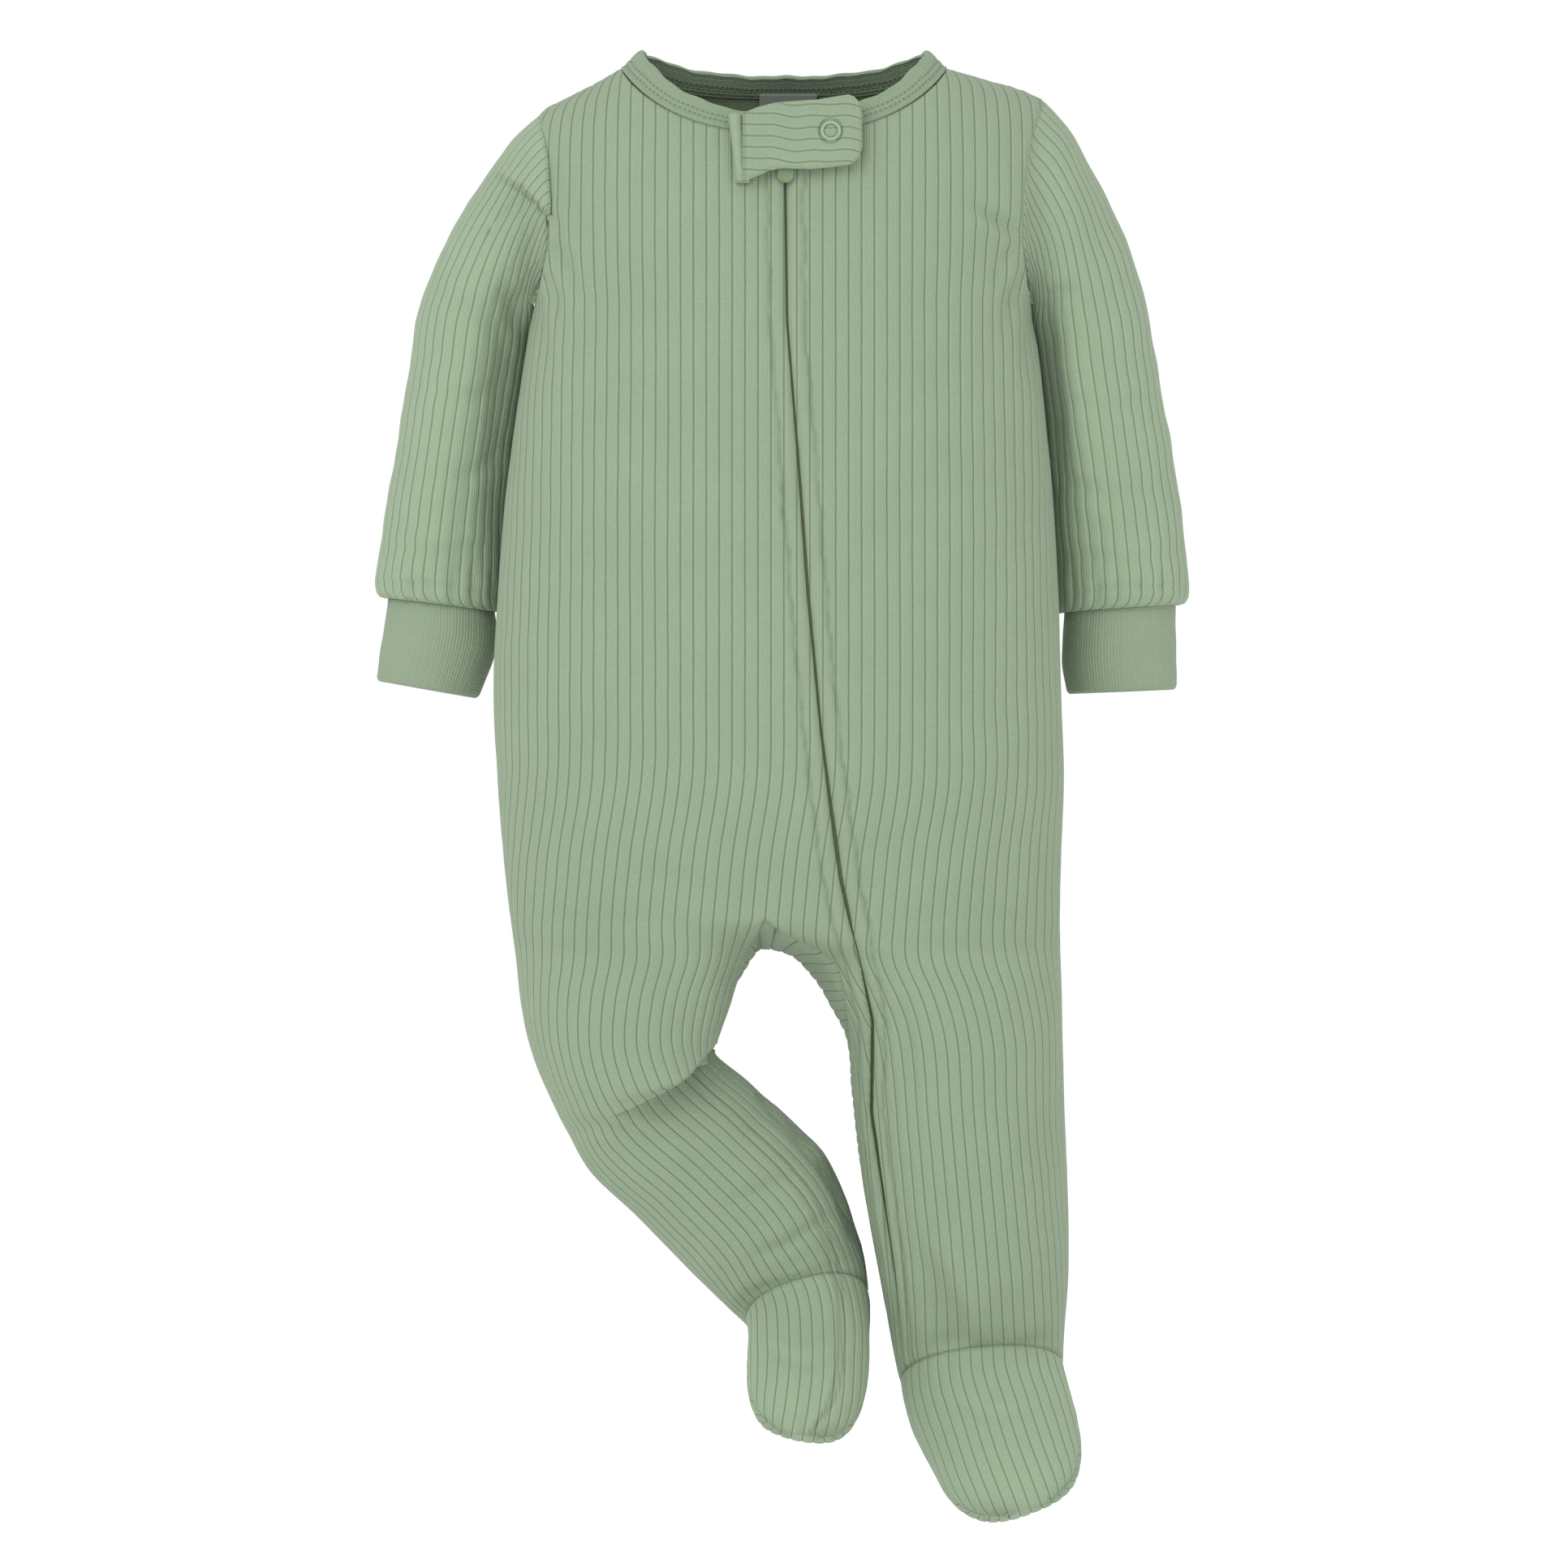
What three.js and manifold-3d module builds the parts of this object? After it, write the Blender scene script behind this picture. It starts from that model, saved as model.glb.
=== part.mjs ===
// A baby's footed sleepsuit in wide-rib cotton jersey, filled out as when worn, with no wearer in it.
// Millimetres. +Z is up, -Y is the garment's front, and +X is the wearer's left.
// The origin lies between the shoulders, where the wearer carries the suit.
// Every cloth piece is a wall worked out from sections of the worn shape. The ribs are raised
// in the wall's outer points over a plain inside, and the pieces stand a seam gap apart.
import * as THREE from "three";
import { mergeVertices } from "three/addons/utils/BufferGeometryUtils.js";
import Module from "manifold-3d";

const wasm = await Module();
wasm.setup();

// Cloth
const CLOTH = 1.2; // thickness of the jersey between two ribs
const RIB_HEIGHT = 0.5;
const RIBS_PER_QUARTER = 24; // from a side seam to the middle
const RIB_PITCH = 5.2; // at the chest
const SEAM_GAP = 0.3;
const ROUNDNESS = 2.2; // exponent of the body's sections, 2 is an ellipse

// Neck and shoulders, heights from the origin
const ARMPIT_Z = -97;
const NECK = { half: 66, sideZ: -3, frontDrop: 27, backDrop: 9, crownRise: 7 };
const NECK_CURVE = { front: [2.6, 0.8], back: [3, 1] };
const SHOULDER_CLOSING = 3; // how squarely the chest closes towards the shoulder seam

// The crotch, just off the middle because one leg is bent
const CROTCH = { x: -7.6, topZ: -347, archZ: -358, splitZ: -280 };

// Each half of the body: torso sections down to the crotch, then the leg and foot.
// Torso: outer is the side seam's distance from the middle, front and back are depths.
// Armhole: edge is the armhole's distance from the middle, full the width of the section it is cut from.
// Leg: centre x y z, lean towards +X and pitch forward in degrees, half width, depths,
// half angle of the gusset, and how far a fold pushes the inner front out and up.
const HALVES = {
  right: {
    sign: -1,
    shoulder: { x: 100, z: -21 },
    armhole: [
      { edge: 101, full: 101 },
      { edge: 96, full: 113 },
      { edge: 94.5, full: 118 },
      { edge: 96, full: 118 },
      { edge: 100, full: 118 },
    ],
    torso: [
      { z: -97, outer: 101, front: 54, back: 46 },
      { z: -135, outer: 107, front: 57, back: 48 },
      { z: -175, outer: 112.3, front: 60, back: 50 },
      { z: -215, outer: 115.5, front: 62, back: 51 },
      { z: -255, outer: 117.3, front: 62, back: 52 },
      { z: -290, outer: 115.8, front: 58, back: 53 },
      { z: -320, outer: 113.5, front: 52, back: 50 },
      { z: -347, outer: 110.5, front: 46, back: 45 },
    ],
    leg: [
      { x: -60.5, y: -3, z: -363, lean: 0, pitch: 0, wide: 47.5, front: 44, back: 43, gusset: 42, out: 0, up: 0 },
      { x: -64, y: -9, z: -380, lean: 2, pitch: 0, wide: 42, front: 43, back: 41, gusset: 34, out: 1, up: 0 },
      { x: -65, y: -16, z: -397, lean: 8, pitch: 0, wide: 36.5, front: 42, back: 39, gusset: 24, out: 4, up: -2 },
      { x: -61, y: -22, z: -412, lean: 19, pitch: 0, wide: 33, front: 40, back: 37, gusset: 14, out: 4, up: -5 },
      { x: -57, y: -20, z: -419, lean: 31, pitch: 0, wide: 33, front: 37, back: 36, gusset: 8, out: -7, up: 2 },
      { x: -51.5, y: -14, z: -427, lean: 42, pitch: 0, wide: 34.4, front: 34, back: 35, gusset: 3, out: -3, up: 0 },
      { x: -32.5, y: -5, z: -444, lean: 43, pitch: 0, wide: 35.4, front: 33, back: 34, gusset: 0, out: 0, up: 0 },
      { x: -9, y: 3, z: -468, lean: 43, pitch: 3, wide: 35.6, front: 32, back: 33, gusset: 0, out: 0, up: 0 },
      { x: 3, y: 5, z: -487, lean: 34, pitch: 12, wide: 31, front: 30, back: 34, gusset: 0, out: 0, up: 0 },
      { x: 9, y: 1, z: -503, lean: 16, pitch: 28, wide: 25.5, front: 24, back: 33, gusset: 0, out: 0, up: 0 },
    ],
    foot: [
      { x: 10, y: -14, z: -515, lean: 3, pitch: 44, wide: 24.2, front: 19, back: 24, gusset: 0, out: 0, up: 0 },
      { x: 9.6, y: -30, z: -528, lean: -3, pitch: 50, wide: 24.4, front: 17, back: 18, gusset: 0, out: 0, up: 0 },
      { x: 8.6, y: -45, z: -540, lean: -8, pitch: 52, wide: 22.6, front: 14, back: 14, gusset: 0, out: 0, up: 0 },
      { x: 7.4, y: -56, z: -549, lean: -10, pitch: 52, wide: 17.5, front: 9, back: 9, gusset: 0, out: 0, up: 0 },
      { x: 6.4, y: -62, z: -554, lean: -10, pitch: 52, wide: 8, front: 1.8, back: 1.8, gusset: 0, out: 0, up: 0 },
    ],
  },
  left: {
    sign: 1,
    shoulder: { x: 106, z: -15 },
    armhole: [
      { edge: 100, full: 100 },
      { edge: 97, full: 113 },
      { edge: 97, full: 120 },
      { edge: 100, full: 122 },
      { edge: 106, full: 122 },
    ],
    torso: [
      { z: -97, outer: 100, front: 54, back: 46 },
      { z: -135, outer: 104.5, front: 57, back: 48 },
      { z: -175, outer: 108.5, front: 60, back: 50 },
      { z: -215, outer: 110.8, front: 62, back: 51 },
      { z: -255, outer: 111.8, front: 62, back: 52 },
      { z: -290, outer: 113, front: 58, back: 53 },
      { z: -320, outer: 112, front: 52, back: 50 },
      { z: -347, outer: 111.5, front: 46, back: 45 },
    ],
    leg: [
      { x: 58.7, y: -1, z: -363, lean: 0, pitch: 0, wide: 53, front: 44, back: 43, gusset: 42, out: 0, up: 0 },
      { x: 64.8, y: -2, z: -379, lean: 0, pitch: 0, wide: 47.3, front: 43, back: 41, gusset: 36, out: 0, up: 0 },
      { x: 69.3, y: -3, z: -398, lean: 0, pitch: 0, wide: 43.2, front: 42, back: 39, gusset: 26, out: 0, up: 0 },
      { x: 71, y: -3, z: -425, lean: 2, pitch: 0, wide: 42.2, front: 40, back: 38, gusset: 12, out: 0, up: 0 },
      { x: 74, y: -2, z: -458, lean: 4, pitch: 0, wide: 40.6, front: 38, back: 37, gusset: 3, out: 0, up: 0 },
      { x: 77, y: 0, z: -490, lean: 3, pitch: 0, wide: 38, front: 35, back: 35, gusset: 0, out: 0, up: 0 },
      { x: 78.5, y: 2, z: -514, lean: 3, pitch: 8, wide: 35, front: 30, back: 35, gusset: 0, out: 0, up: 0 },
      { x: 80, y: -2, z: -530, lean: 6, pitch: 26, wide: 33, front: 24, back: 34, gusset: 0, out: 0, up: 0 },
    ],
    foot: [
      { x: 83, y: -17, z: -543, lean: 14, pitch: 42, wide: 32.6, front: 20, back: 26, gusset: 0, out: 0, up: 0 },
      { x: 88, y: -34, z: -556, lean: 18, pitch: 48, wide: 31, front: 18, back: 20, gusset: 0, out: 0, up: 0 },
      { x: 92.5, y: -51, z: -569, lean: 20, pitch: 50, wide: 28, front: 15, back: 15, gusset: 0, out: 0, up: 0 },
      { x: 96, y: -63, z: -578, lean: 20, pitch: 50, wide: 21, front: 9.5, back: 9.5, gusset: 0, out: 0, up: 0 },
      { x: 98, y: -70, z: -583, lean: 20, pitch: 50, wide: 10, front: 1.8, back: 1.8, gusset: 0, out: 0, up: 0 },
    ],
  },
};
// Shares of a leg's front and back, from the side seam, between which a knee fold grows to its full size
const FOLD = { front: 0.3, back: 0.6, full: 0.95 };

// Sleeves: each ring's outer and inner point, middle depth y and half depth, and how round it has become.
const SLEEVE_RIBS = 28; // about 5 mm apart at the upper arm
const SLEEVES = {
  right: [
    { outX: 107, outZ: -26, inX: 103.2, inZ: -98.5, y: 1, deep: 33, round: 0.25 },
    { outX: 122, outZ: -43, inX: 104.4, inZ: -101, y: 3, deep: 31, round: 0.6 },
    { outX: 137, outZ: -70, inX: 105, inZ: -105, y: 6, deep: 29, round: 0.9 },
    { outX: 146, outZ: -95, inX: 105.4, inZ: -112, y: 10, deep: 27.5, round: 1 },
    { outX: 151.5, outZ: -123, inX: 107, inZ: -128, y: 15, deep: 26.5, round: 1 },
    { outX: 158, outZ: -160, inX: 110.5, inZ: -162, y: 20, deep: 25, round: 1 },
    { outX: 163.5, outZ: -193, inX: 112.5, inZ: -196, y: 23, deep: 23.5, round: 1 },
    { outX: 165.7, outZ: -212, inX: 113.5, inZ: -219, y: 24, deep: 22.5, round: 1 },
    { outX: 162.6, outZ: -217, inX: 116, inZ: -223, y: 24, deep: 19.5, round: 1 },
  ],
  left: [
    { outX: 113, outZ: -21, inX: 102.4, inZ: -98.5, y: 1, deep: 33, round: 0.25 },
    { outX: 125, outZ: -39, inX: 103.6, inZ: -101, y: 3, deep: 31, round: 0.6 },
    { outX: 138, outZ: -68, inX: 104, inZ: -105, y: 6, deep: 29, round: 0.9 },
    { outX: 146, outZ: -95, inX: 104, inZ: -112, y: 10, deep: 27.5, round: 1 },
    { outX: 151.3, outZ: -123, inX: 105.5, inZ: -128, y: 15, deep: 26.5, round: 1 },
    { outX: 157.5, outZ: -160, inX: 108.6, inZ: -162, y: 20, deep: 25, round: 1 },
    { outX: 162.5, outZ: -193, inX: 110, inZ: -196, y: 23, deep: 23.5, round: 1 },
    { outX: 164.7, outZ: -214, inX: 110.6, inZ: -220, y: 24, deep: 22.5, round: 1 },
    { outX: 161.5, outZ: -220, inX: 113, inZ: -223, y: 24, deep: 19.5, round: 1 },
  ],
};
const CUFFS = {
  right: [
    { outX: 162, outZ: -218, inX: 116.6, inZ: -223.6, y: 24, deep: 19, round: 1 },
    { outX: 161.6, outZ: -228, inX: 117.2, inZ: -234, y: 24, deep: 18, round: 1 },
    { outX: 163.6, outZ: -240, inX: 120.4, inZ: -246, y: 24, deep: 17.5, round: 1 },
    { outX: 165.6, outZ: -250.5, inX: 124.6, inZ: -258, y: 24, deep: 17, round: 1 },
  ],
  left: [
    { outX: 160.9, outZ: -220.6, inX: 113.6, inZ: -223.6, y: 24, deep: 19, round: 1 },
    { outX: 159, outZ: -228, inX: 114.4, inZ: -231, y: 24, deep: 18, round: 1 },
    { outX: 158.8, outZ: -241, inX: 114, inZ: -243, y: 24, deep: 17.5, round: 1 },
    { outX: 159.6, outZ: -254, inX: 115, inZ: -256, y: 24, deep: 17, round: 1 },
  ],
};

// The neckband stands up from the neckline and leans in over it.
const BAND = { tall: 10.5, thick: 2.4, rise: 1, lean: 1.05, columns: 16 };

// The zip runs from the neck, past the crotch and down the inside of the left leg.
const ZIP = { gap: 1.4, clear: 2.5, tapeDepth: 2.6, tapeFrom: 2.7, tapeTo: 9, tape: 1, coilHalf: 2.3, coil: 1.5 };
const ZIP_LINE = [
  { z: 10, x: 0.6 },
  { z: -54, x: 0.6 },
  { z: -107, x: 1.3 },
  { z: -160, x: 5.6 },
  { z: -217, x: 9.8 },
  { z: -271, x: 14.9 },
  { z: -299, x: 18.5 },
  { z: -331, x: 23 },
  { z: -357, x: 28.7 },
  { z: -388, x: 35 },
  { z: -425, x: 34.5 },
  { z: -451, x: 38.3 },
  { z: -490, x: 44 },
  { z: -560, x: 52 },
];

// Heights of the sections that the panels are made from: shares of the yoke, from the armpit to
// the shoulder, then numbers of the torso, leg and foot sections from the armpit down.
const YOKE_SHARES = [1, 0.965, 0.87, 0.62, 0.3, 0.07];
const TORSO_STEPS = [0, 3, 6, 7];
const CROTCH_STEP = 7;
const FOOT_RIBS = 12;
const ANKLE_STEP = 0.03; // how far below the last leg row a foot piece begins
const CUFF_COLUMNS = 20;
// inset and sink: how far the gusset's crest stands in from the panels' ends and under them
const GUSSET = { columns: 8, leastDeg: 3, trim: 1.6 * SEAM_GAP, inset: 2, sink: 1.5 };
// A sleeve begins out from the armhole, further at the underarm.
const SLEEVE_START = { out: 2.4 * SEAM_GAP, underarm: 2 * RIB_HEIGHT, power: 4 };

// The flap over the top of the zip, its snap and the folded strip that it is sewn down with.
const FLAP = { lift: 5.4, thick: 1.6, ribs: 8, columns: 5 };
const FLAP_ROWS = [
  { z: -19.5, left: -9, right: 26 },
  { z: -23, left: -15.5, right: 30 },
  { z: -40, left: -15, right: 30.8 },
  { z: -46, left: -14.8, right: 25 },
  { z: -50.5, left: -14.6, right: -9 },
];
const STAY = { left: -20.8, right: -16.3, topZ: -24, bottomZ: -51, lift: 0.9, thick: 5, rows: 6, columns: 2 };
const SNAP = { x: 18.4, z: -31.5, outer: 4.1, inner: 2.9, tall: 0.9, rim: 0.4, crown: 0.6, stud: 3.2, studTall: 1.8, chamfer: 0.4 };
const SLIDER = { wide: 7.6, narrow: 5, topZ: -34, bottomZ: -45, lift: 0.5, thick: 1.4 };
const PULL = { hingeZ: -37.5, bottomZ: -51, wide: 6.8, thick: 1.1, lift: 2.2 };
const LABEL = { left: -10, right: 13.6, topZ: -15.5, bottomZ: -40, lift: 1.6, thick: 0.8, steps: 4 };

const SECTION_POINTS = 24;
const ARMHOLE_POINTS = 16;
const TURNED_SIDES = 16;
const NUDGE = 1e-3;
const HALVINGS = 40; // when a key is searched for
const EDGE_CLEAR = 0.3; // share of half a rib kept free at a row's ends
const SEAT_LENGTH = 12; // stretch of the zip that the slider and the pull are seated on
const MIDDLE_KEY = RIBS_PER_QUARTER;
const LAST_KEY = 2 * RIBS_PER_QUARTER;

const radians = THREE.MathUtils.degToRad;
const lerp = THREE.MathUtils.lerp;
const smoothstep = THREE.MathUtils.smoothstep;

function readTable(table, heading, value, column) {
  const rising = table[1][heading] > table[0][heading];
  let row = 0;
  while (row < table.length - 2 && (table[row + 1][heading] < value) === rising) {
    row += 1;
  }
  const share = (value - table[row][heading]) / (table[row + 1][heading] - table[row][heading]);
  return lerp(table[row][column], table[row + 1][column], THREE.MathUtils.clamp(share, 0, 1));
}

function zipX(z) {
  return readTable(ZIP_LINE, "z", z, "x");
}

function middleX(z) {
  return CROTCH.x * smoothstep(-z, -CROTCH.splitZ, -CROTCH.topZ);
}

// The curve of one section, from the side seam at 0 to its inner end at 1, equal shares being
// equal lengths. turnDeg says how far round the section the inner end lies.
function sectionCurve({ centre, side, face, wide, deep, turnDeg, shift, shiftFrom }) {
  const points = [];
  for (let i = 0; i <= SECTION_POINTS; i += 1) {
    const share = i / SECTION_POINTS;
    const angle = radians(turnDeg) * share;
    const across = Math.cos(angle);
    const sideways = wide * Math.sign(across) * Math.abs(across) ** (2 / ROUNDNESS);
    const outwards = deep * Math.max(Math.sin(angle), 0) ** (2 / ROUNDNESS);
    const point = centre.clone().addScaledVector(side, sideways).addScaledVector(face, outwards);
    points.push(point.addScaledVector(shift, smoothstep(share, shiftFrom, FOLD.full)));
  }
  return new THREE.CatmullRomCurve3(points);
}

function torsoSection(half, row, faceName) {
  const middle = middleX(row.z);
  return {
    centre: new THREE.Vector3(middle, 0, row.z),
    side: new THREE.Vector3(half.sign, 0, 0),
    face: new THREE.Vector3(0, faceName === "front" ? -1 : 1, 0),
    wide: row.outer - half.sign * middle,
    deep: row[faceName],
    turnDeg: 90,
    shift: new THREE.Vector3(),
    shiftFrom: 0,
  };
}

function legAxes(half, row) {
  const lean = radians(row.lean);
  const pitch = radians(row.pitch);
  return {
    centre: new THREE.Vector3(row.x, row.y, row.z),
    side: new THREE.Vector3(Math.cos(lean), 0, Math.sin(lean)).multiplyScalar(half.sign),
    front: new THREE.Vector3(
      -Math.sin(lean) * Math.sin(pitch),
      -Math.cos(pitch),
      Math.cos(lean) * Math.sin(pitch),
    ),
  };
}

function legSection(half, row, faceName) {
  const { centre, side, front } = legAxes(half, row);
  return {
    centre,
    side,
    face: front.clone().multiplyScalar(faceName === "front" ? 1 : -1),
    wide: row.wide,
    deep: row[faceName],
    turnDeg: 180 - row.gusset,
    shift: front.clone().multiplyScalar(row.out).add(new THREE.Vector3(0, 0, row.up)),
    shiftFrom: FOLD[faceName],
  };
}

function faceCurves(half, faceName) {
  const torso = half.torso.map((row) => sectionCurve(torsoSection(half, row, faceName)));
  const leg = [...half.leg, ...half.foot].map((row) => sectionCurve(legSection(half, row, faceName)));
  return [...torso, ...leg];
}

const CURVES = {
  front: { right: faceCurves(HALVES.right, "front"), left: faceCurves(HALVES.left, "front") },
  back: { right: faceCurves(HALVES.right, "back"), left: faceCurves(HALVES.left, "back") },
};

// A point of the body below the armpits. step counts the sections from the armpit down.
function bodyPoint(curves, share, step) {
  const row = Math.floor(Math.min(Math.max(step, 0), curves.length - 1.001));
  const along = Math.min(Math.max(step, 0), curves.length - 1) - row;
  const above = Math.max(row - 1, 0);
  const lastBelow = row < CROTCH_STEP ? CROTCH_STEP : curves.length - 1;
  const numbers = [above, row, row + 1, Math.min(row + 2, lastBelow)];
  const [p0, p1, p2, p3] = numbers.map((n) => curves[n].getPointAt(share));
  const square = along * along;
  const cube = square * along;
  const point = p1.clone().multiplyScalar(2 * cube - 3 * square + 1);
  point.addScaledVector(p2, -2 * cube + 3 * square);
  point.addScaledVector(p2.clone().sub(p0), 0.5 * (cube - 2 * square + along));
  return point.addScaledVector(p3.clone().sub(p1), 0.5 * (cube - square));
}

function halfAt(x) {
  return x < 0 ? HALVES.right : HALVES.left;
}

// Height of the panels' top edge: the shoulder seam outside the neck, the neckline within it.
function topEdge(x, faceName) {
  const out = Math.abs(x);
  if (out >= NECK.half) {
    const { shoulder } = halfAt(x);
    const share = (out - NECK.half) / (shoulder.x - NECK.half);
    return lerp(NECK.sideZ, shoulder.z, share);
  }
  const [power, root] = NECK_CURVE[faceName];
  const drop = faceName === "front" ? NECK.frontDrop : NECK.backDrop;
  return NECK.sideZ - drop * (1 - (out / NECK.half) ** power) ** root;
}

// Height that the shoulders would reach if they were closed over the neck.
function crownHeight(x) {
  const out = Math.abs(x);
  if (out >= NECK.half) {
    return topEdge(x, "front");
  }
  return NECK.sideZ + NECK.crownRise * (1 - (out / NECK.half) ** 2);
}

function armholeAt(half, share, column) {
  const rows = half.armhole.map((row, i) => ({ ...row, share: i / (half.armhole.length - 1) }));
  return readTable(rows, "share", share, column);
}

// A point of the body's surface above the armpits, at a distance from the middle and a height.
function yokeSurface(faceName, x, z) {
  const half = halfAt(x);
  const rise = THREE.MathUtils.clamp((z - ARMPIT_Z) / (crownHeight(x) - ARMPIT_Z), 0, 1);
  const across = Math.min(Math.abs(x) / armholeAt(half, rise, "full"), 1);
  const rounded = (1 - across ** ROUNDNESS) ** (1 / ROUNDNESS);
  const closed = (1 - rise ** SHOULDER_CLOSING) ** (1 / SHOULDER_CLOSING);
  const deep = Math.max(half.torso[0][faceName] * rounded * closed, SEAM_GAP / 2);
  return new THREE.Vector3(x, faceName === "front" ? -deep : deep, z);
}

function keyToShare(key) {
  return key <= MIDDLE_KEY ? key / RIBS_PER_QUARTER : (LAST_KEY - key) / RIBS_PER_QUARTER;
}

function keyToCurves(key, faceName) {
  return key <= MIDDLE_KEY ? CURVES[faceName].right : CURVES[faceName].left;
}

// Distance from the middle at a key, carried straight on past the side seam for a wide shoulder.
function armpitX(key, faceName) {
  const beyond = Math.max(-key, key - LAST_KEY, 0);
  const share = THREE.MathUtils.clamp(keyToShare(key), 0, 1);
  const x = keyToCurves(key, faceName)[0].getPointAt(share).x;
  return x + Math.sign(x) * beyond * RIB_PITCH;
}

// A level is one row of a panel: { share } in the yoke or { step } below it.
// A key counts ribs across the body, from the right side seam to the left one.
function surfacePoint(faceName, level, key) {
  if (level.step !== undefined) {
    const share = THREE.MathUtils.clamp(keyToShare(key), 0, 1);
    return bodyPoint(keyToCurves(key, faceName), share, level.step);
  }
  const x = armpitX(key, faceName);
  return yokeSurface(faceName, x, lerp(ARMPIT_Z, topEdge(x, faceName), level.share));
}

function nudgeLevel(level, amount) {
  if (level.step !== undefined) {
    return { step: level.step - amount };
  }
  return { share: Math.min(level.share + amount, 1) };
}

// The point with its outward normal, found from the points close by.
function surfaceFrame(faceName, level, key) {
  const point = surfacePoint(faceName, level, key);
  const before = surfacePoint(faceName, level, key - NUDGE);
  const after = surfacePoint(faceName, level, key + NUDGE);
  const across = after.clone().sub(before);
  const below = surfacePoint(faceName, nudgeLevel(level, -NUDGE), key);
  const above = surfacePoint(faceName, nudgeLevel(level, NUDGE), key);
  const normal = across.clone().cross(above.clone().sub(below)).normalize();
  if (faceName === "back") {
    normal.negate();
  }
  return { point, normal, speed: across.length() / (2 * NUDGE) };
}

function findKey(measure, low, high) {
  let [below, above] = [low, high];
  const rising = measure(above) > measure(below);
  for (let i = 0; i < HALVINGS; i += 1) {
    const middle = (below + above) / 2;
    if (measure(middle) > 0 === rising) {
      above = middle;
    } else {
      below = middle;
    }
  }
  return (below + above) / 2;
}

function zipKey(level, offset) {
  const measure = (key) => {
    const point = surfacePoint("front", level, key);
    return point.x - zipX(point.z) - offset;
  };
  return findKey(measure, MIDDLE_KEY - 4, LAST_KEY - 1);
}

// The key where a row of a panel ends, at the side seam or the armhole, less half the seam gap.
function outerKey(faceName, level, sign) {
  const seam = sign < 0 ? 0 : LAST_KEY;
  if (level.step !== undefined) {
    const inside = seam - sign * NUDGE * 2;
    return seam - (sign * SEAM_GAP) / 2 / surfaceFrame(faceName, level, inside).speed;
  }
  const half = sign < 0 ? HALVES.right : HALVES.left;
  const edge = sign * (armholeAt(half, level.share, "edge") - SEAM_GAP / 2);
  return findKey((key) => armpitX(key, faceName) - edge, seam + 2 * sign, MIDDLE_KEY);
}

// Samples of one row: outer points on the crest and groove of every rib, inner ones far apart.
function panelRow(faceName, level, from, to) {
  const outer = [];
  const inner = [];
  const add = (key, ribbed, plain) => {
    const { point, normal } = surfaceFrame(faceName, level, key);
    const lift = ribbed ? RIB_HEIGHT : 0;
    outer.push({ key, at: point.clone().addScaledVector(normal, lift) });
    if (plain) {
      inner.push({ key, at: point.clone().addScaledVector(normal, -CLOTH) });
    }
  };
  add(from, false, true);
  for (let twice = Math.ceil(2 * from + EDGE_CLEAR); twice < 2 * to - EDGE_CLEAR; twice += 1) {
    add(twice / 2, twice % 2 === 1, twice % 4 === 0);
  }
  add(to, false, true);
  return { outer, inner };
}

function partOfRow(row, from, to) {
  const within = ({ key }) => key >= from - 1e-9 && key <= to + 1e-9;
  return { outer: row.outer.filter(within), inner: row.inner.filter(within) };
}

function joinRows(faces, upper, lower) {
  let i = 0;
  let j = 0;
  while (i < upper.length - 1 || j < lower.length - 1) {
    const lowerDone = j === lower.length - 1;
    const upperNext = i < upper.length - 1 && (lowerDone || upper[i + 1].key <= lower[j + 1].key);
    if (upperNext) {
      faces.push([upper[i].at, lower[j].at, upper[i + 1].at]);
      i += 1;
    } else {
      faces.push([upper[i].at, lower[j].at, lower[j + 1].at]);
      j += 1;
    }
  }
}

// Faces of a cloth wall through rows of outer and inner samples, from the top row down.
function wallFaces(rows, { closed = false, topRim = true, bottomRim = true } = {}) {
  const faces = [];
  const last = rows.length - 1;
  for (let i = 0; i < last; i += 1) {
    const [upper, lower] = [rows[i], rows[i + 1]];
    joinRows(faces, upper.outer, lower.outer);
    joinRows(faces, lower.inner, upper.inner);
    if (!closed) {
      const [a, b, c, d] = [upper.outer[0], lower.outer[0], lower.inner[0], upper.inner[0]];
      faces.push([b.at, a.at, d.at], [b.at, d.at, c.at]);
      const [e, f] = [upper.outer.at(-1), lower.outer.at(-1)];
      const [g, h] = [lower.inner.at(-1), upper.inner.at(-1)];
      faces.push([e.at, f.at, g.at], [e.at, g.at, h.at]);
    }
  }
  if (topRim) {
    joinRows(faces, rows[0].inner, rows[0].outer);
  }
  if (bottomRim) {
    joinRows(faces, rows[last].outer, rows[last].inner);
  }
  return faces;
}

function solidFrom(faces) {
  const positions = [];
  let volume = 0;
  for (const [a, b, c] of faces) {
    if (a.distanceTo(b) > 1e-4 && b.distanceTo(c) > 1e-4 && c.distanceTo(a) > 1e-4) {
      positions.push(...a, ...b, ...c);
      volume += a.dot(b.clone().cross(c));
    }
  }
  const geometry = new THREE.BufferGeometry();
  geometry.setAttribute("position", new THREE.Float32BufferAttribute(positions, 3));
  const merged = mergeVertices(geometry, 1e-4);
  if (volume < 0) {
    const index = merged.index.array;
    for (let i = 0; i < index.length; i += 3) {
      [index[i], index[i + 1]] = [index[i + 1], index[i]];
    }
  }
  merged.computeVertexNormals();
  return merged;
}

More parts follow.
